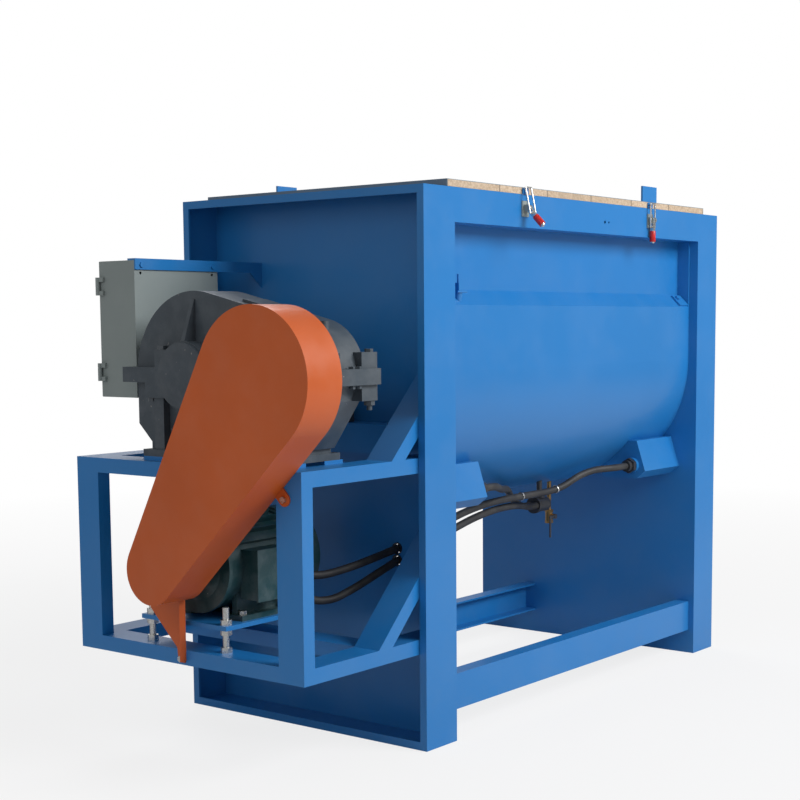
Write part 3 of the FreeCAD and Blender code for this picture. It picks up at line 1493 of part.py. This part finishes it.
FILLER_X = "-610"
BEVEL_Y = "(jacket_radius - 18)"
filler = fuse(
    cone((FILLER_X, f"-{BEVEL_Y}", "jacket_top + 4"), 8, 13, 30, "Z"),
    box((f"{FILLER_X} - 13", f"-{BEVEL_Y} - 13", "jacket_top + 34"), (26, 26, 26)),
    rod((f"{FILLER_X} - 22", f"-{BEVEL_Y} - 14", "jacket_top + 36"), 3, 44),
    rod((f"{FILLER_X} + 2", f"-{BEVEL_Y}", "jacket_top + 58"), 3.5, 26, "Z"),
)
slope = Rotation(Vector(1, 0, 0), 45)
below_bevel = box((f"{FILLER_X} - 50", "-jacket_radius", "jacket_top - 141.2"), (100, 300, 100))
below_bevel.Placement.Rotation = slope
vent = box(("plate_inside - 66", "-jacket_radius + 2", "jacket_top + 2.3"), (58, 46, 6))
vent.Placement.Rotation = slope
vent_bolt = hexagon(("plate_inside - 50", "-jacket_radius + 19.5", "jacket_top + 28.3"), 15, 7, "Z")
vent_bolt.Placement.Rotation = slope
node("oil_filler", group(cut(filler, below_bevel), vent, vent_bolt))

VALVE_X, VALVE_Y, VALVE_Z = "306", "-100", "494"
valve = fuse(
    rod((VALVE_X, VALVE_Y, f"{VALVE_Z} + 12"), 7, f"{under_jacket(VALVE_Y)} + 6 - {VALVE_Z} - 12", "Z"),
    hexagon((VALVE_X, VALVE_Y, f"{VALVE_Z} + 12"), 24, 10, "Z"),
    rod((VALVE_X, VALVE_Y, f"{VALVE_Z} - 16"), 12.5, 32, "Z"),
    hexagon((VALVE_X, VALVE_Y, f"{VALVE_Z} - 24"), 24, 10, "Z"),
    rod((VALVE_X, VALVE_Y, VALVE_Z), 8, 20, "-Y"),
)
trimmed = cut(valve, rod(("-plate_face", "0", "shaft_height"), "jacket_radius + gap", "2 * plate_face"))
stem_hole = rod((VALVE_X, f"{VALVE_Y} - 10", VALVE_Z), "3.5 + running_gap", 20, "-Y")
node("drain_valve", cut(trimmed, stem_hole))
lever = fuse(
    rod((VALVE_X, f"{VALVE_Y} - 12", VALVE_Z), 3.5, 16, "-Y"),
    rod((VALVE_X, f"{VALVE_Y} - 20.3", VALVE_Z), 8, 7.7, "-Y"),
    box((f"{VALVE_X} - 30", f"{VALVE_Y} - 27", f"{VALVE_Z} - 5"), (32, 4, 10)),
    box((f"{VALVE_X} - 34", f"{VALVE_Y} - 27", f"{VALVE_Z} - 68"), (7, 4, 73)),
)
node("drain_lever", lever)

# ------------------------------------------------------------------ discharge door

DOOR_X = "plate_face"
DOOR_BASE = "(outlet_sill - 14)"
DOOR_HIGH = "(outlet_height + 28)"
HINGE_Y = "(outlet_width / 2 + 34)"
PIN_X = "(plate_face + 10)"
leaf = box((f"{DOOR_X} + gap", "-outlet_width / 2 - 15", DOOR_BASE), (8, "outlet_width + 30", DOOR_HIGH))
arms = []
ears = []
for part in (0, 1):
    low = f"{DOOR_BASE} + 22 + {part} * ({DOOR_HIGH} - 68)"
    arms.append(box((f"{DOOR_X} + 4", "outlet_width / 2 - 30", low),
                    (10, f"{HINGE_Y} - outlet_width / 2 + 30", 24)))
    arms.append(rod((PIN_X, HINGE_Y, low), 8, 24, "Z"))
    for start in (-10.3, 24.3):
        ear_z = f"{low} + ({start})"
        ear = fuse(
            box((DOOR_X, f"{HINGE_Y} - 8", ear_z), (10, 24, 10)),
            rod((PIN_X, HINGE_Y, ear_z), 8, 10, "Z"),
        )
        ears.append(ear)
pin_bore = rod((PIN_X, HINGE_Y, f"{DOOR_BASE} - 20"), "4 + running_gap", "outlet_height + 80", "Z")
door_pull = fuse(
    box((f"{DOOR_X} + 8", "-outlet_width / 2 + 30", f"{DOOR_BASE} + 40"), (26, 10, 10)),
    box((f"{DOOR_X} + 8", "-outlet_width / 2 + 30", f"{DOOR_BASE} + 84"), (26, 10, 10)),
    rod((f"{DOOR_X} + 32", "-outlet_width / 2 + 35", f"{DOOR_BASE} + 36"), 7, 62, "Z"),
)
node("discharge_door", fuse(cut(fuse(leaf, *arms), pin_bore), door_pull))
pin = rod((PIN_X, HINGE_Y, f"{DOOR_BASE} + 5"), 4, "outlet_height + 18", "Z")
LATCH_Y = "(-outlet_width / 2 - 45)"
LATCH_Z = f"({DOOR_BASE} + {DOOR_HIGH} / 2)"
latch_post = fuse(
    rod((DOOR_X, LATCH_Y, LATCH_Z), 16, "8 + 1"),
    rod((DOOR_X, LATCH_Y, LATCH_Z), 6, 28),
    rod((f"{DOOR_X} + 22.6", LATCH_Y, LATCH_Z), 10, 6),
)
node("discharge_hinge", group(*[cut(ear, pin_bore) for ear in ears], pin, latch_post))
latch = cut(
    fuse(
        rod((f"{DOOR_X} + 9.3", LATCH_Y, LATCH_Z), 14, 13),
        box((f"{DOOR_X} + 9.3", f"{LATCH_Y} - 9", f"{LATCH_Z} - 90"), (6, 18, 136)),
        rod((f"{DOOR_X} + 12.3", LATCH_Y, f"{LATCH_Z} - 120"), 8, 60, "Z"),
    ),
    rod((DOOR_X, LATCH_Y, LATCH_Z), "6 + running_gap", 40),
)
node("discharge_latch", latch)

# ------------------------------------------------------------------ checks and export

doc.recompute()
for obj in doc.Objects:
    if "Invalid" in obj.State or "Error" in obj.State:
        raise RuntimeError(f"{obj.Label} ({obj.Name}) did not build")
os.makedirs("parts", exist_ok=True)
for name, obj in NODES.items():
    shape = obj.Shape
    if shape.isNull() or not shape.isValid() or not shape.Solids:
        raise RuntimeError(f"{name} has no valid solid")
    shape.exportStep(os.path.join("parts", name + ".step"))
print(len(NODES), "nodes,", sum(len(obj.Shape.Solids) for obj in NODES.values()), "solids")
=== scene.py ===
import bpy
import json
import math
from mathutils import Matrix, Vector


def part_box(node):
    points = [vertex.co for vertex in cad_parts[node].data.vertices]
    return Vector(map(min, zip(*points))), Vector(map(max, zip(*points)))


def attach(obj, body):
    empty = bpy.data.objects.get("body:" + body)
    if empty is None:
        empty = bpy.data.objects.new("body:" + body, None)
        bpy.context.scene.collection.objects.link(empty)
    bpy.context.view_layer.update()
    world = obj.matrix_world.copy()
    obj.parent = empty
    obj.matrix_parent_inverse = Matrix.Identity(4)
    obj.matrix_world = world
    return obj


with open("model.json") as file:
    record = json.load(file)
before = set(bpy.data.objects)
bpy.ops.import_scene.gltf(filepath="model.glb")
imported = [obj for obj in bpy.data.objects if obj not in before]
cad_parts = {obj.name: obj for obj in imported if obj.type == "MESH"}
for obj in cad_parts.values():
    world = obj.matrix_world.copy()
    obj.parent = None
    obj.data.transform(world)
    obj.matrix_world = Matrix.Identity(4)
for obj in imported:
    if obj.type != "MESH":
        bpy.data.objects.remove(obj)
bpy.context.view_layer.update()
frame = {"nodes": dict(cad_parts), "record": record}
nodes = frame["nodes"]
bpy.ops.object.select_all(action="DESELECT")
print("frame loaded:", len(nodes), "nodes")

# where the middle of the trough stands in the row frame
shellLow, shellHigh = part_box("trough_shell")
middle = (shellLow + shellHigh) / 2


# ---- finishes

def newFinish(name, roughness, metallic=0.0):
    finish = bpy.data.materials.new(name)
    finish.use_nodes = True
    tree = finish.node_tree
    shader = tree.nodes["Principled BSDF"]
    shader.inputs["Roughness"].default_value = roughness
    shader.inputs["Metallic"].default_value = metallic
    coords = tree.nodes.new("ShaderNodeTexCoord")
    return finish, tree, shader, coords.outputs["Object"]


def noise(tree, coords, scale, detail=3.0, roughness=0.5, stretch=None):
    if stretch:
        mapping = tree.nodes.new("ShaderNodeMapping")
        mapping.inputs["Scale"].default_value = stretch
        tree.links.new(coords, mapping.inputs["Vector"])
        coords = mapping.outputs["Vector"]
    texture = tree.nodes.new("ShaderNodeTexNoise")
    texture.inputs["Scale"].default_value = scale
    texture.inputs["Detail"].default_value = detail
    texture.inputs["Roughness"].default_value = roughness
    tree.links.new(coords, texture.inputs["Vector"])
    return texture.outputs["Fac"]


def remap(tree, value, low, high, start=0.0, end=1.0):
    node = tree.nodes.new("ShaderNodeMapRange")
    node.inputs["From Min"].default_value = low
    node.inputs["From Max"].default_value = high
    node.inputs["To Min"].default_value = start
    node.inputs["To Max"].default_value = end
    tree.links.new(value, node.inputs["Value"])
    return node.outputs["Result"]


def blendColours(tree, factor, first, second, mode="MIX"):
    node = tree.nodes.new("ShaderNodeMix")
    node.data_type = "RGBA"
    node.blend_type = mode
    for socket, value in ((node.inputs[6], first), (node.inputs[7], second)):
        if isinstance(value, tuple):
            socket.default_value = (*value, 1.0)
        else:
            tree.links.new(value, socket)
    if isinstance(factor, float):
        node.inputs[0].default_value = factor
    else:
        tree.links.new(factor, node.inputs[0])
    return node.outputs[2]


def arithmetic(tree, kind, first, second):
    node = tree.nodes.new("ShaderNodeMath")
    node.operation = kind
    for socket, value in zip(node.inputs, (first, second)):
        if isinstance(value, (int, float)):
            socket.default_value = value
        else:
            tree.links.new(value, socket)
    return node.outputs["Value"]


def bump(tree, shader, height, strength, distance=0.001):
    node = tree.nodes.new("ShaderNodeBump")
    node.inputs["Strength"].default_value = strength
    node.inputs["Distance"].default_value = distance
    tree.links.new(height, node.inputs["Height"])
    tree.links.new(node.outputs["Normal"], shader.inputs["Normal"])


def scaled(colour, amount):
    return tuple(min(1.0, part * amount) for part in colour)


def axesOf(tree, coords):
    node = tree.nodes.new("ShaderNodeSeparateXYZ")
    tree.links.new(coords, node.inputs["Vector"])
    return node.outputs


def enamel(name, look):
    finish, tree, shader, coords = newFinish(name, look["roughness"])
    clouds = noise(tree, coords, look["cloudScale"], 4.0)
    tone = remap(tree, clouds, 0.3, 0.7)
    darker, lighter = scaled(look["colour"], 1 - look["cloud"]), scaled(look["colour"], 1 + look["cloud"])
    colour = blendColours(tree, tone, darker, lighter)
    # dust settles in patches, more of it near the floor
    patches = noise(tree, coords, look["dustScale"], 6.0, 0.62)
    low = remap(tree, axesOf(tree, coords)["Z"], 0.0, look["dustHeight"], look["dust"], 0.03)
    dust = arithmetic(tree, "MULTIPLY", remap(tree, patches, 0.42, 0.68), low)
    colour = blendColours(tree, dust, colour, look["dustColour"])
    # small chips where the coat has been knocked
    chips = noise(tree, coords, 95.0, 2.0, 0.4)
    knocked = remap(tree, chips, look["chipEdge"], look["chipEdge"] + 0.015)
    colour = blendColours(tree, knocked, colour, look["chipColour"])
    tree.links.new(colour, shader.inputs["Base Color"])
    gloss = remap(tree, patches, 0.3, 0.7, look["roughness"] - 0.05, look["roughness"] + 0.09)
    tree.links.new(gloss, shader.inputs["Roughness"])
    peel = noise(tree, coords, look["peelScale"], 2.0, 0.5)
    waves = noise(tree, coords, 9.0, 2.0, 0.5)
    height = arithmetic(tree, "ADD", peel, arithmetic(tree, "MULTIPLY", waves, look["waves"]))
    bump(tree, shader, height, look["peel"], 0.0006)
    shader.inputs["Coat Weight"].default_value = look["coat"]
    shader.inputs["Coat Roughness"].default_value = 0.12
    return finish


blueEnamel = {
    "colour": (0.012, 0.172, 0.470), "roughness": 0.36, "cloud": 0.04, "cloudScale": 1.6,
    "dust": 0.05, "dustHeight": 0.5, "dustScale": 7.0, "dustColour": (0.33, 0.36, 0.38),
    "chipEdge": 0.88, "chipColour": (0.10, 0.07, 0.05),
    "peel": 0.10, "peelScale": 420.0, "waves": 3.0, "coat": 0.12,
}
orangeEnamel = {
    "colour": (0.520, 0.092, 0.010), "roughness": 0.40, "cloud": 0.06, "cloudScale": 4.0,
    "dust": 0.04, "dustHeight": 1.0, "dustScale": 12.0, "dustColour": (0.55, 0.40, 0.32),
    "chipEdge": 0.86, "chipColour": (0.16, 0.05, 0.02),
    "peel": 0.12, "peelScale": 380.0, "waves": 4.0, "coat": 0.08,
}
reducerEnamel = {
    "colour": (0.048, 0.064, 0.080), "roughness": 0.42, "cloud": 0.12, "cloudScale": 9.0,
    "dust": 0.30, "dustHeight": 1.6, "dustScale": 16.0, "dustColour": (0.26, 0.28, 0.30),
    "chipEdge": 0.76, "chipColour": (0.20, 0.20, 0.20),
    "peel": 0.55, "peelScale": 120.0, "waves": 1.0, "coat": 0.12,
}
motorEnamel = {
    "colour": (0.008, 0.042, 0.048), "roughness": 0.40, "cloud": 0.10, "cloudScale": 10.0,
    "dust": 0.28, "dustHeight": 1.2, "dustScale": 18.0, "dustColour": (0.22, 0.26, 0.27),
    "chipEdge": 0.77, "chipColour": (0.18, 0.18, 0.17),
    "peel": 0.45, "peelScale": 150.0, "waves": 1.0, "coat": 0.15,
}
cabinetEnamel = {
    "colour": (0.235, 0.275, 0.270), "roughness": 0.46, "cloud": 0.04, "cloudScale": 4.0,
    "dust": 0.10, "dustHeight": 2.0, "dustScale": 10.0, "dustColour": (0.42, 0.42, 0.40),
    "chipEdge": 0.80, "chipColour": (0.12, 0.11, 0.10),
    "peel": 0.30, "peelScale": 300.0, "waves": 1.0, "coat": 0.05,
}
lidSheetEnamel = {
    "colour": (0.130, 0.185, 0.235), "roughness": 0.58, "cloud": 0.07, "cloudScale": 3.0,
    "dust": 0.22, "dustHeight": 2.0, "dustScale": 9.0, "dustColour": (0.42, 0.43, 0.43),
    "chipEdge": 0.79, "chipColour": (0.20, 0.18, 0.16),
    "peel": 0.10, "peelScale": 300.0, "waves": 6.0, "coat": 0.0,
}
blackEnamel = {
    "colour": (0.030, 0.030, 0.032), "roughness": 0.36, "cloud": 0.06, "cloudScale": 20.0,
    "dust": 0.12, "dustHeight": 1.0, "dustScale": 30.0, "dustColour": (0.20, 0.20, 0.20),
    "chipEdge": 0.84, "chipColour": (0.30, 0.28, 0.25),
    "peel": 0.2, "peelScale": 300.0, "waves": 1.0, "coat": 0.2,
}


def bareMetal(name, look):
    finish, tree, shader, coords = newFinish(name, look["roughness"], 1.0)
    streaks = noise(tree, coords, look["grain"], 3.0, 0.6, look["stretch"])
    tone = remap(tree, streaks, 0.3, 0.7)
    colour = blendColours(tree, tone, scaled(look["colour"], 0.86), scaled(look["colour"], 1.10))
    stains = remap(tree, noise(tree, coords, look["stainScale"], 5.0, 0.6), 0.55, 0.75, 0.0, look["stain"])
    colour = blendColours(tree, stains, colour, look["stainColour"])
    tree.links.new(colour, shader.inputs["Base Color"])
    gloss = remap(tree, streaks, 0.25, 0.75, look["roughness"] - 0.08, look["roughness"] + 0.12)
    tree.links.new(gloss, shader.inputs["Roughness"])
    bump(tree, shader, streaks, look["bump"], 0.0003)
    return finish


stainlessLook = {
    "colour": (0.60, 0.60, 0.58), "roughness": 0.34, "grain": 60.0, "stretch": (1.0, 6.0, 6.0),
    "stainScale": 5.0, "stain": 0.15, "stainColour": (0.40, 0.36, 0.30), "bump": 0.12,
}
turnedSteelLook = {
    "colour": (0.42, 0.42, 0.42), "roughness": 0.32, "grain": 40.0, "stretch": (14.0, 1.0, 1.0),
    "stainScale": 20.0, "stain": 0.35, "stainColour": (0.18, 0.12, 0.08), "bump": 0.15,
}
zincLook = {
    "colour": (0.62, 0.62, 0.60), "roughness": 0.28, "grain": 130.0, "stretch": (1.0, 1.0, 1.0),
    "stainScale": 60.0, "stain": 0.35, "stainColour": (0.33, 0.30, 0.24), "bump": 0.10,
}
brassLook = {
    "colour": (0.30, 0.19, 0.08), "roughness": 0.38, "grain": 90.0, "stretch": (1.0, 1.0, 1.0),
    "stainScale": 35.0, "stain": 0.45, "stainColour": (0.26, 0.17, 0.08), "bump": 0.2,
}
castLook = {
    "colour": (0.16, 0.165, 0.17), "roughness": 0.62, "grain": 150.0, "stretch": (1.0, 1.0, 1.0),
    "stainScale": 14.0, "stain": 0.4, "stainColour": (0.10, 0.07, 0.05), "bump": 0.7,
}


def polymer(name, look):
    finish, tree, shader, coords = newFinish(name, look["roughness"])
    grain = noise(tree, coords, look["grain"], 3.0, 0.6)
    darker, lighter = scaled(look["colour"], 0.85), scaled(look["colour"], 1.15)
    colour = blendColours(tree, remap(tree, grain, 0.3, 0.7), darker, lighter)
    dust = remap(tree, noise(tree, coords, look["dustScale"], 5.0, 0.6), 0.45, 0.75, 0.0, look["dust"])
    colour = blendColours(tree, dust, colour, look["dustColour"])
    tree.links.new(colour, shader.inputs["Base Color"])
    gloss = remap(tree, grain, 0.3, 0.7, look["roughness"] - 0.06, look["roughness"] + 0.08)
    tree.links.new(gloss, shader.inputs["Roughness"])
    bump(tree, shader, grain, look["bump"], 0.0004)
    return finish


rubberLook = {
    "colour": (0.018, 0.018, 0.020), "roughness": 0.58, "grain": 180.0, "bump": 0.25,
    "dust": 0.22, "dustScale": 12.0, "dustColour": (0.16, 0.16, 0.15),
}
blackPlasticLook = {
    "colour": (0.022, 0.023, 0.026), "roughness": 0.42, "grain": 240.0, "bump": 0.15,
    "dust": 0.15, "dustScale": 25.0, "dustColour": (0.15, 0.15, 0.15),
}
greenPlasticLook = {
    "colour": (0.012, 0.26, 0.045), "roughness": 0.28, "grain": 200.0, "bump": 0.05,
    "dust": 0.06, "dustScale": 40.0, "dustColour": (0.3, 0.4, 0.3),
}
redPlasticLook = {
    "colour": (0.50, 0.012, 0.010), "roughness": 0.28, "grain": 200.0, "bump": 0.05,
    "dust": 0.06, "dustScale": 40.0, "dustColour": (0.5, 0.3, 0.3),
}
timberLook = {
    "pale": (0.62, 0.49, 0.36), "dark": (0.36, 0.26, 0.17), "soiled": (0.22, 0.17, 0.12), "roughness": 0.72,
    "planks": 6, "seam": 0.004,
}


def timber(name, look):
    finish, tree, shader, coords = newFinish(name, look["roughness"])
    grain = noise(tree, coords, 22.0, 5.0, 0.6, (6.0, 0.5, 9.0))
    fibres = noise(tree, coords, 160.0, 2.0, 0.6, (3.0, 0.25, 3.0))
    colour = blendColours(tree, remap(tree, grain, 0.32, 0.7), look["pale"], look["dark"])
    colour = blendColours(tree, remap(tree, fibres, 0.5, 0.8, 0.0, 0.5), colour, look["dark"])
    # each plank has its own tone, and a dark seam stands between two
    low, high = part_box("lid_planks")
    width = (high.x - low.x) / look["planks"]
    fromEnd = arithmetic(tree, "SUBTRACT", axesOf(tree, coords)["X"], low.x)
    along = arithmetic(tree, "DIVIDE", fromEnd, width)
    part = arithmetic(tree, "FRACT", along, 0.0)
    index = arithmetic(tree, "FLOOR", along, 0.0)
    shade = tree.nodes.new("ShaderNodeTexWhiteNoise")
    shade.noise_dimensions = "1D"
    tree.links.new(index, shade.inputs["W"])
    age = remap(tree, shade.outputs["Value"], 0.0, 1.0, 0.0, 0.30)
    colour = blendColours(tree, age, colour, look["dark"])
    edge = arithmetic(tree, "ABSOLUTE", arithmetic(tree, "SUBTRACT", part, 0.5), 0.0)
    seam = remap(tree, edge, 0.5 - look["seam"] / width, 0.5 - 0.4 * look["seam"] / width)
    colour = blendColours(tree, seam, colour, look["soiled"])
    soil = remap(tree, noise(tree, coords, 6.0, 6.0, 0.65), 0.52, 0.75, 0.0, 0.5)
    colour = blendColours(tree, soil, colour, look["soiled"])
    tree.links.new(colour, shader.inputs["Base Color"])
    bump(tree, shader, arithmetic(tree, "ADD", grain, fibres), 0.35, 0.0008)
    return finish


finishes = {
    "blue_paint": enamel("blueEnamel", blueEnamel),
    "orange_paint": enamel("orangeEnamel", orangeEnamel),
    "reducer_paint": enamel("reducerEnamel", reducerEnamel),
    "green_paint": enamel("motorEnamel", motorEnamel),
    "grey_paint": enamel("cabinetEnamel", cabinetEnamel),
    "lid_sheet_paint": enamel("lidSheetEnamel", lidSheetEnamel),
    "timber": timber("lidTimber", timberLook),
    "stainless": bareMetal("mixerStainless", stainlessLook),
    "bare_steel": bareMetal("turnedSteel", turnedSteelLook),
    "zinc_plate": bareMetal("zincPlate", zincLook),
    "cast_grey": bareMetal("castIron", castLook),
    "belt_rubber": polymer("beltRubber", rubberLook),
    "black_plastic": polymer("glandPlastic", blackPlasticLook),
    "valve_brass": bareMetal("valveBrass", brassLook),
    "lever_black": enamel("leverBlack", blackEnamel),
    "green_plastic": polymer("startGreen", greenPlasticLook),
    "red_plastic": polymer("stopRed", redPlasticLook),
}
for part in frame["record"]["subparts"]:
    node = nodes[part["node"]]
    for slot in node.material_slots:
        slot.material = finishes[part["material_slot"]]
print("finishes set:", len(finishes))


# ---- small pieces on the machine

def finishPiece(piece, name, body, slot):
    piece.name = name
    piece.data.name = name
    bpy.ops.object.select_all(action="DESELECT")
    piece.select_set(True)
    bpy.context.view_layer.objects.active = piece
    bpy.ops.object.transform_apply(location=True, rotation=True, scale=True)
    piece.data.materials.clear()
    piece.data.materials.append(finishes[slot])
    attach(piece, body)
    piece.select_set(False)
    return piece


def addRing(ring):
    bpy.ops.object.select_all(action="DESELECT")
    bpy.ops.mesh.primitive_cylinder_add(
        vertices=32, radius=ring["outer"], depth=ring["length"], end_fill_type="NOTHING",
        location=ring["place"], rotation=ring["along"].to_track_quat("Z", "Y").to_euler(),
    )
    piece = bpy.context.object
    wall = piece.modifiers.new("wall", "SOLIDIFY")
    wall.thickness = ring["outer"] - ring["inner"]
    wall.offset = -1.0
    soft = piece.modifiers.new("soft", "BEVEL")
    soft.width = ring["edge"]
    soft.segments = 2
    soft.limit_method = "ANGLE"
    for modifier in ("wall", "soft"):
        bpy.ops.object.modifier_apply(modifier=modifier)
    bpy.ops.object.shade_smooth_by_angle(angle=math.radians(40))
    return piece


# a red sleeve is pushed over the grip of each clamp lever
sleeve = {
    "outer": 0.0095, "inner": 0.0073, "length": 0.034, "edge": 0.0012,
    "hubRadius": 0.008, "grip": 0.051,  # the grip's middle, measured from the lever's pivot
}
hangLow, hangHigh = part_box("right_clamp_lever")
pivotY, pivotZ = (hangLow.y + hangHigh.y) / 2, hangHigh.z - sleeve["hubRadius"]
for side, swing in (("left", math.radians(45)), ("right", 0.0)):
    leverLow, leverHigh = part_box(f"{side}_clamp_lever")
    along = Vector((0.0, -math.sin(swing), -math.cos(swing)))
    pivot = Vector(((leverLow.x + leverHigh.x) / 2, pivotY, pivotZ))
    piece = addRing({**sleeve, "place": pivot + sleeve["grip"] * along, "along": along})
    finishPiece(piece, f"{side}LeverSleeve", f"{side}_lever", "red_plastic")
print("lever sleeves added")

# two ties are drawn round the far heater's cable, square to its run
tie = {"outer": 0.0135, "inner": 0.0108, "length": 0.005, "edge": 0.0006}
tieSpots = {
    "innerTie": ((-0.110, -0.230, 0.602), (-0.005, -0.233, 0.603)),
    "outerTie": ((0.085, -0.241, 0.605), (0.150, -0.255, 0.616)),
}
for name, (start, end) in tieSpots.items():
    run = Vector(end) - Vector(start)
    place = (Vector(start) + Vector(end)) / 2 + Vector((middle.x, middle.y, 0.0))
    piece = addRing({**tie, "place": place, "along": run})
    finishPiece(piece, name, "machine", "zinc_plate")
print("cable ties added")


# ---- floor, light and camera

studio = {
    "floor": (0.60, 0.60, 0.61), "world": 0.36, "key": 310.0, "fill": 30.0, "rim": 90.0,
    "shadowReach": 1.6, "whiteReach": 6.0, "nearWhite": 0.80,
}

bpy.ops.mesh.primitive_plane_add(size=60.0, location=(middle.x, middle.y, -0.001))
floor = bpy.context.object
floor.name = "studioFloor"
floorFinish = bpy.data.materials.new("studioFloor")
floorFinish.use_nodes = True
tree = floorFinish.node_tree
shader = tree.nodes["Principled BSDF"]
shader.inputs["Base Color"].default_value = (*studio["floor"], 1.0)
shader.inputs["Roughness"].default_value = 0.9
glow = tree.nodes.new("ShaderNodeEmission")
glow.inputs["Color"].default_value = (1.0, 1.0, 1.0, 1.0)
glow.inputs["Strength"].default_value = 1.0
ray = tree.nodes.new("ShaderNodeLightPath")
coords = tree.nodes.new("ShaderNodeTexCoord")
reach = tree.nodes.new("ShaderNodeVectorMath")
reach.operation = "LENGTH"
tree.links.new(coords.outputs["Object"], reach.inputs[0])
# the floor keeps its shadow near the machine and turns plain white further off
span = (studio["shadowReach"], studio["whiteReach"])
whiteness = remap(tree, reach.outputs["Value"], *span, studio["nearWhite"], 1.0)
seen = arithmetic(tree, "MULTIPLY", ray.outputs["Is Camera Ray"], whiteness)
mixer = tree.nodes.new("ShaderNodeMixShader")
tree.links.new(seen, mixer.inputs["Fac"])
tree.links.new(shader.outputs["BSDF"], mixer.inputs[1])
tree.links.new(glow.outputs["Emission"], mixer.inputs[2])
tree.links.new(mixer.outputs["Shader"], tree.nodes["Material Output"].inputs["Surface"])
floor.data.materials.append(floorFinish)

world = bpy.data.worlds.new("studioWorld")
bpy.context.scene.world = world
world.use_nodes = True
tree = world.node_tree
soft = tree.nodes["Background"]
soft.inputs["Color"].default_value = (1.0, 1.0, 1.0, 1.0)
soft.inputs["Strength"].default_value = studio["world"]
white = tree.nodes.new("ShaderNodeBackground")
white.inputs["Color"].default_value = (1.0, 1.0, 1.0, 1.0)
white.inputs["Strength"].default_value = 1.0
ray = tree.nodes.new("ShaderNodeLightPath")
either = tree.nodes.new("ShaderNodeMath")
either.operation = "MAXIMUM"
tree.links.new(ray.outputs["Is Camera Ray"], either.inputs[0])
tree.links.new(ray.outputs["Is Transmission Ray"], either.inputs[1])
mixer = tree.nodes.new("ShaderNodeMixShader")
tree.links.new(either.outputs[0], mixer.inputs["Fac"])
tree.links.new(soft.outputs["Background"], mixer.inputs[1])
tree.links.new(white.outputs["Background"], mixer.inputs[2])
tree.links.new(mixer.outputs["Shader"], tree.nodes["World Output"].inputs["Surface"])


def softLamp(name, place, size, power):
    lamp = bpy.data.lights.new(name, "AREA")
    lamp.shape = "RECTANGLE"
    lamp.size, lamp.size_y = size
    lamp.energy = power
    holder = bpy.data.objects.new(name, lamp)
    bpy.context.scene.collection.objects.link(holder)
    holder.location = place
    aim = Vector((middle.x, middle.y, 0.8)) - Vector(place)
    holder.rotation_euler = aim.to_track_quat("-Z", "Y").to_euler()


softLamp("keyLamp", (middle.x + 0.6, middle.y - 4.9, 3.8), (3.2, 2.4), studio["key"])
softLamp("fillLamp", (middle.x - 5.4, middle.y - 0.4, 2.4), (3.0, 3.0), studio["fill"])
softLamp("backLamp", (middle.x + 2.5, middle.y + 3.8, 4.0), (3.0, 2.0), studio["rim"])

# the camera stands off the drive end's front corner, a little below the lid
shot = {
    "place": (-3.97239, -2.86399, 1.14171), "yaw": 37.939, "pitch": 6.0465, "roll": -0.413,
    "lens": 68.353, "shift": (-0.0186, 0.1052),
}
yaw, pitch, roll = (math.radians(shot[key]) for key in ("yaw", "pitch", "roll"))
ahead = Vector((math.cos(yaw) * math.cos(pitch), math.sin(yaw) * math.cos(pitch), -math.sin(pitch)))
level = Vector((math.sin(yaw), -math.cos(yaw), 0.0))
above = level.cross(ahead)
right = math.cos(roll) * level + math.sin(roll) * above
above = math.cos(roll) * above - math.sin(roll) * level
lens = bpy.data.cameras.new("studioCamera")
lens.sensor_width = 36.0
lens.lens = shot["lens"]
lens.shift_x, lens.shift_y = shot["shift"]
lens.clip_end = 100.0
camera = bpy.data.objects.new("studioCamera", lens)
bpy.context.scene.collection.objects.link(camera)
turn = Matrix((right, above, -ahead)).transposed().to_4x4()
place = Vector(shot["place"]) + Vector((middle.x, middle.y, 0.0))
camera.matrix_world = Matrix.Translation(place) @ turn
bpy.context.scene.camera = camera
bpy.context.scene.view_settings.view_transform = "Standard"
print("studio set")
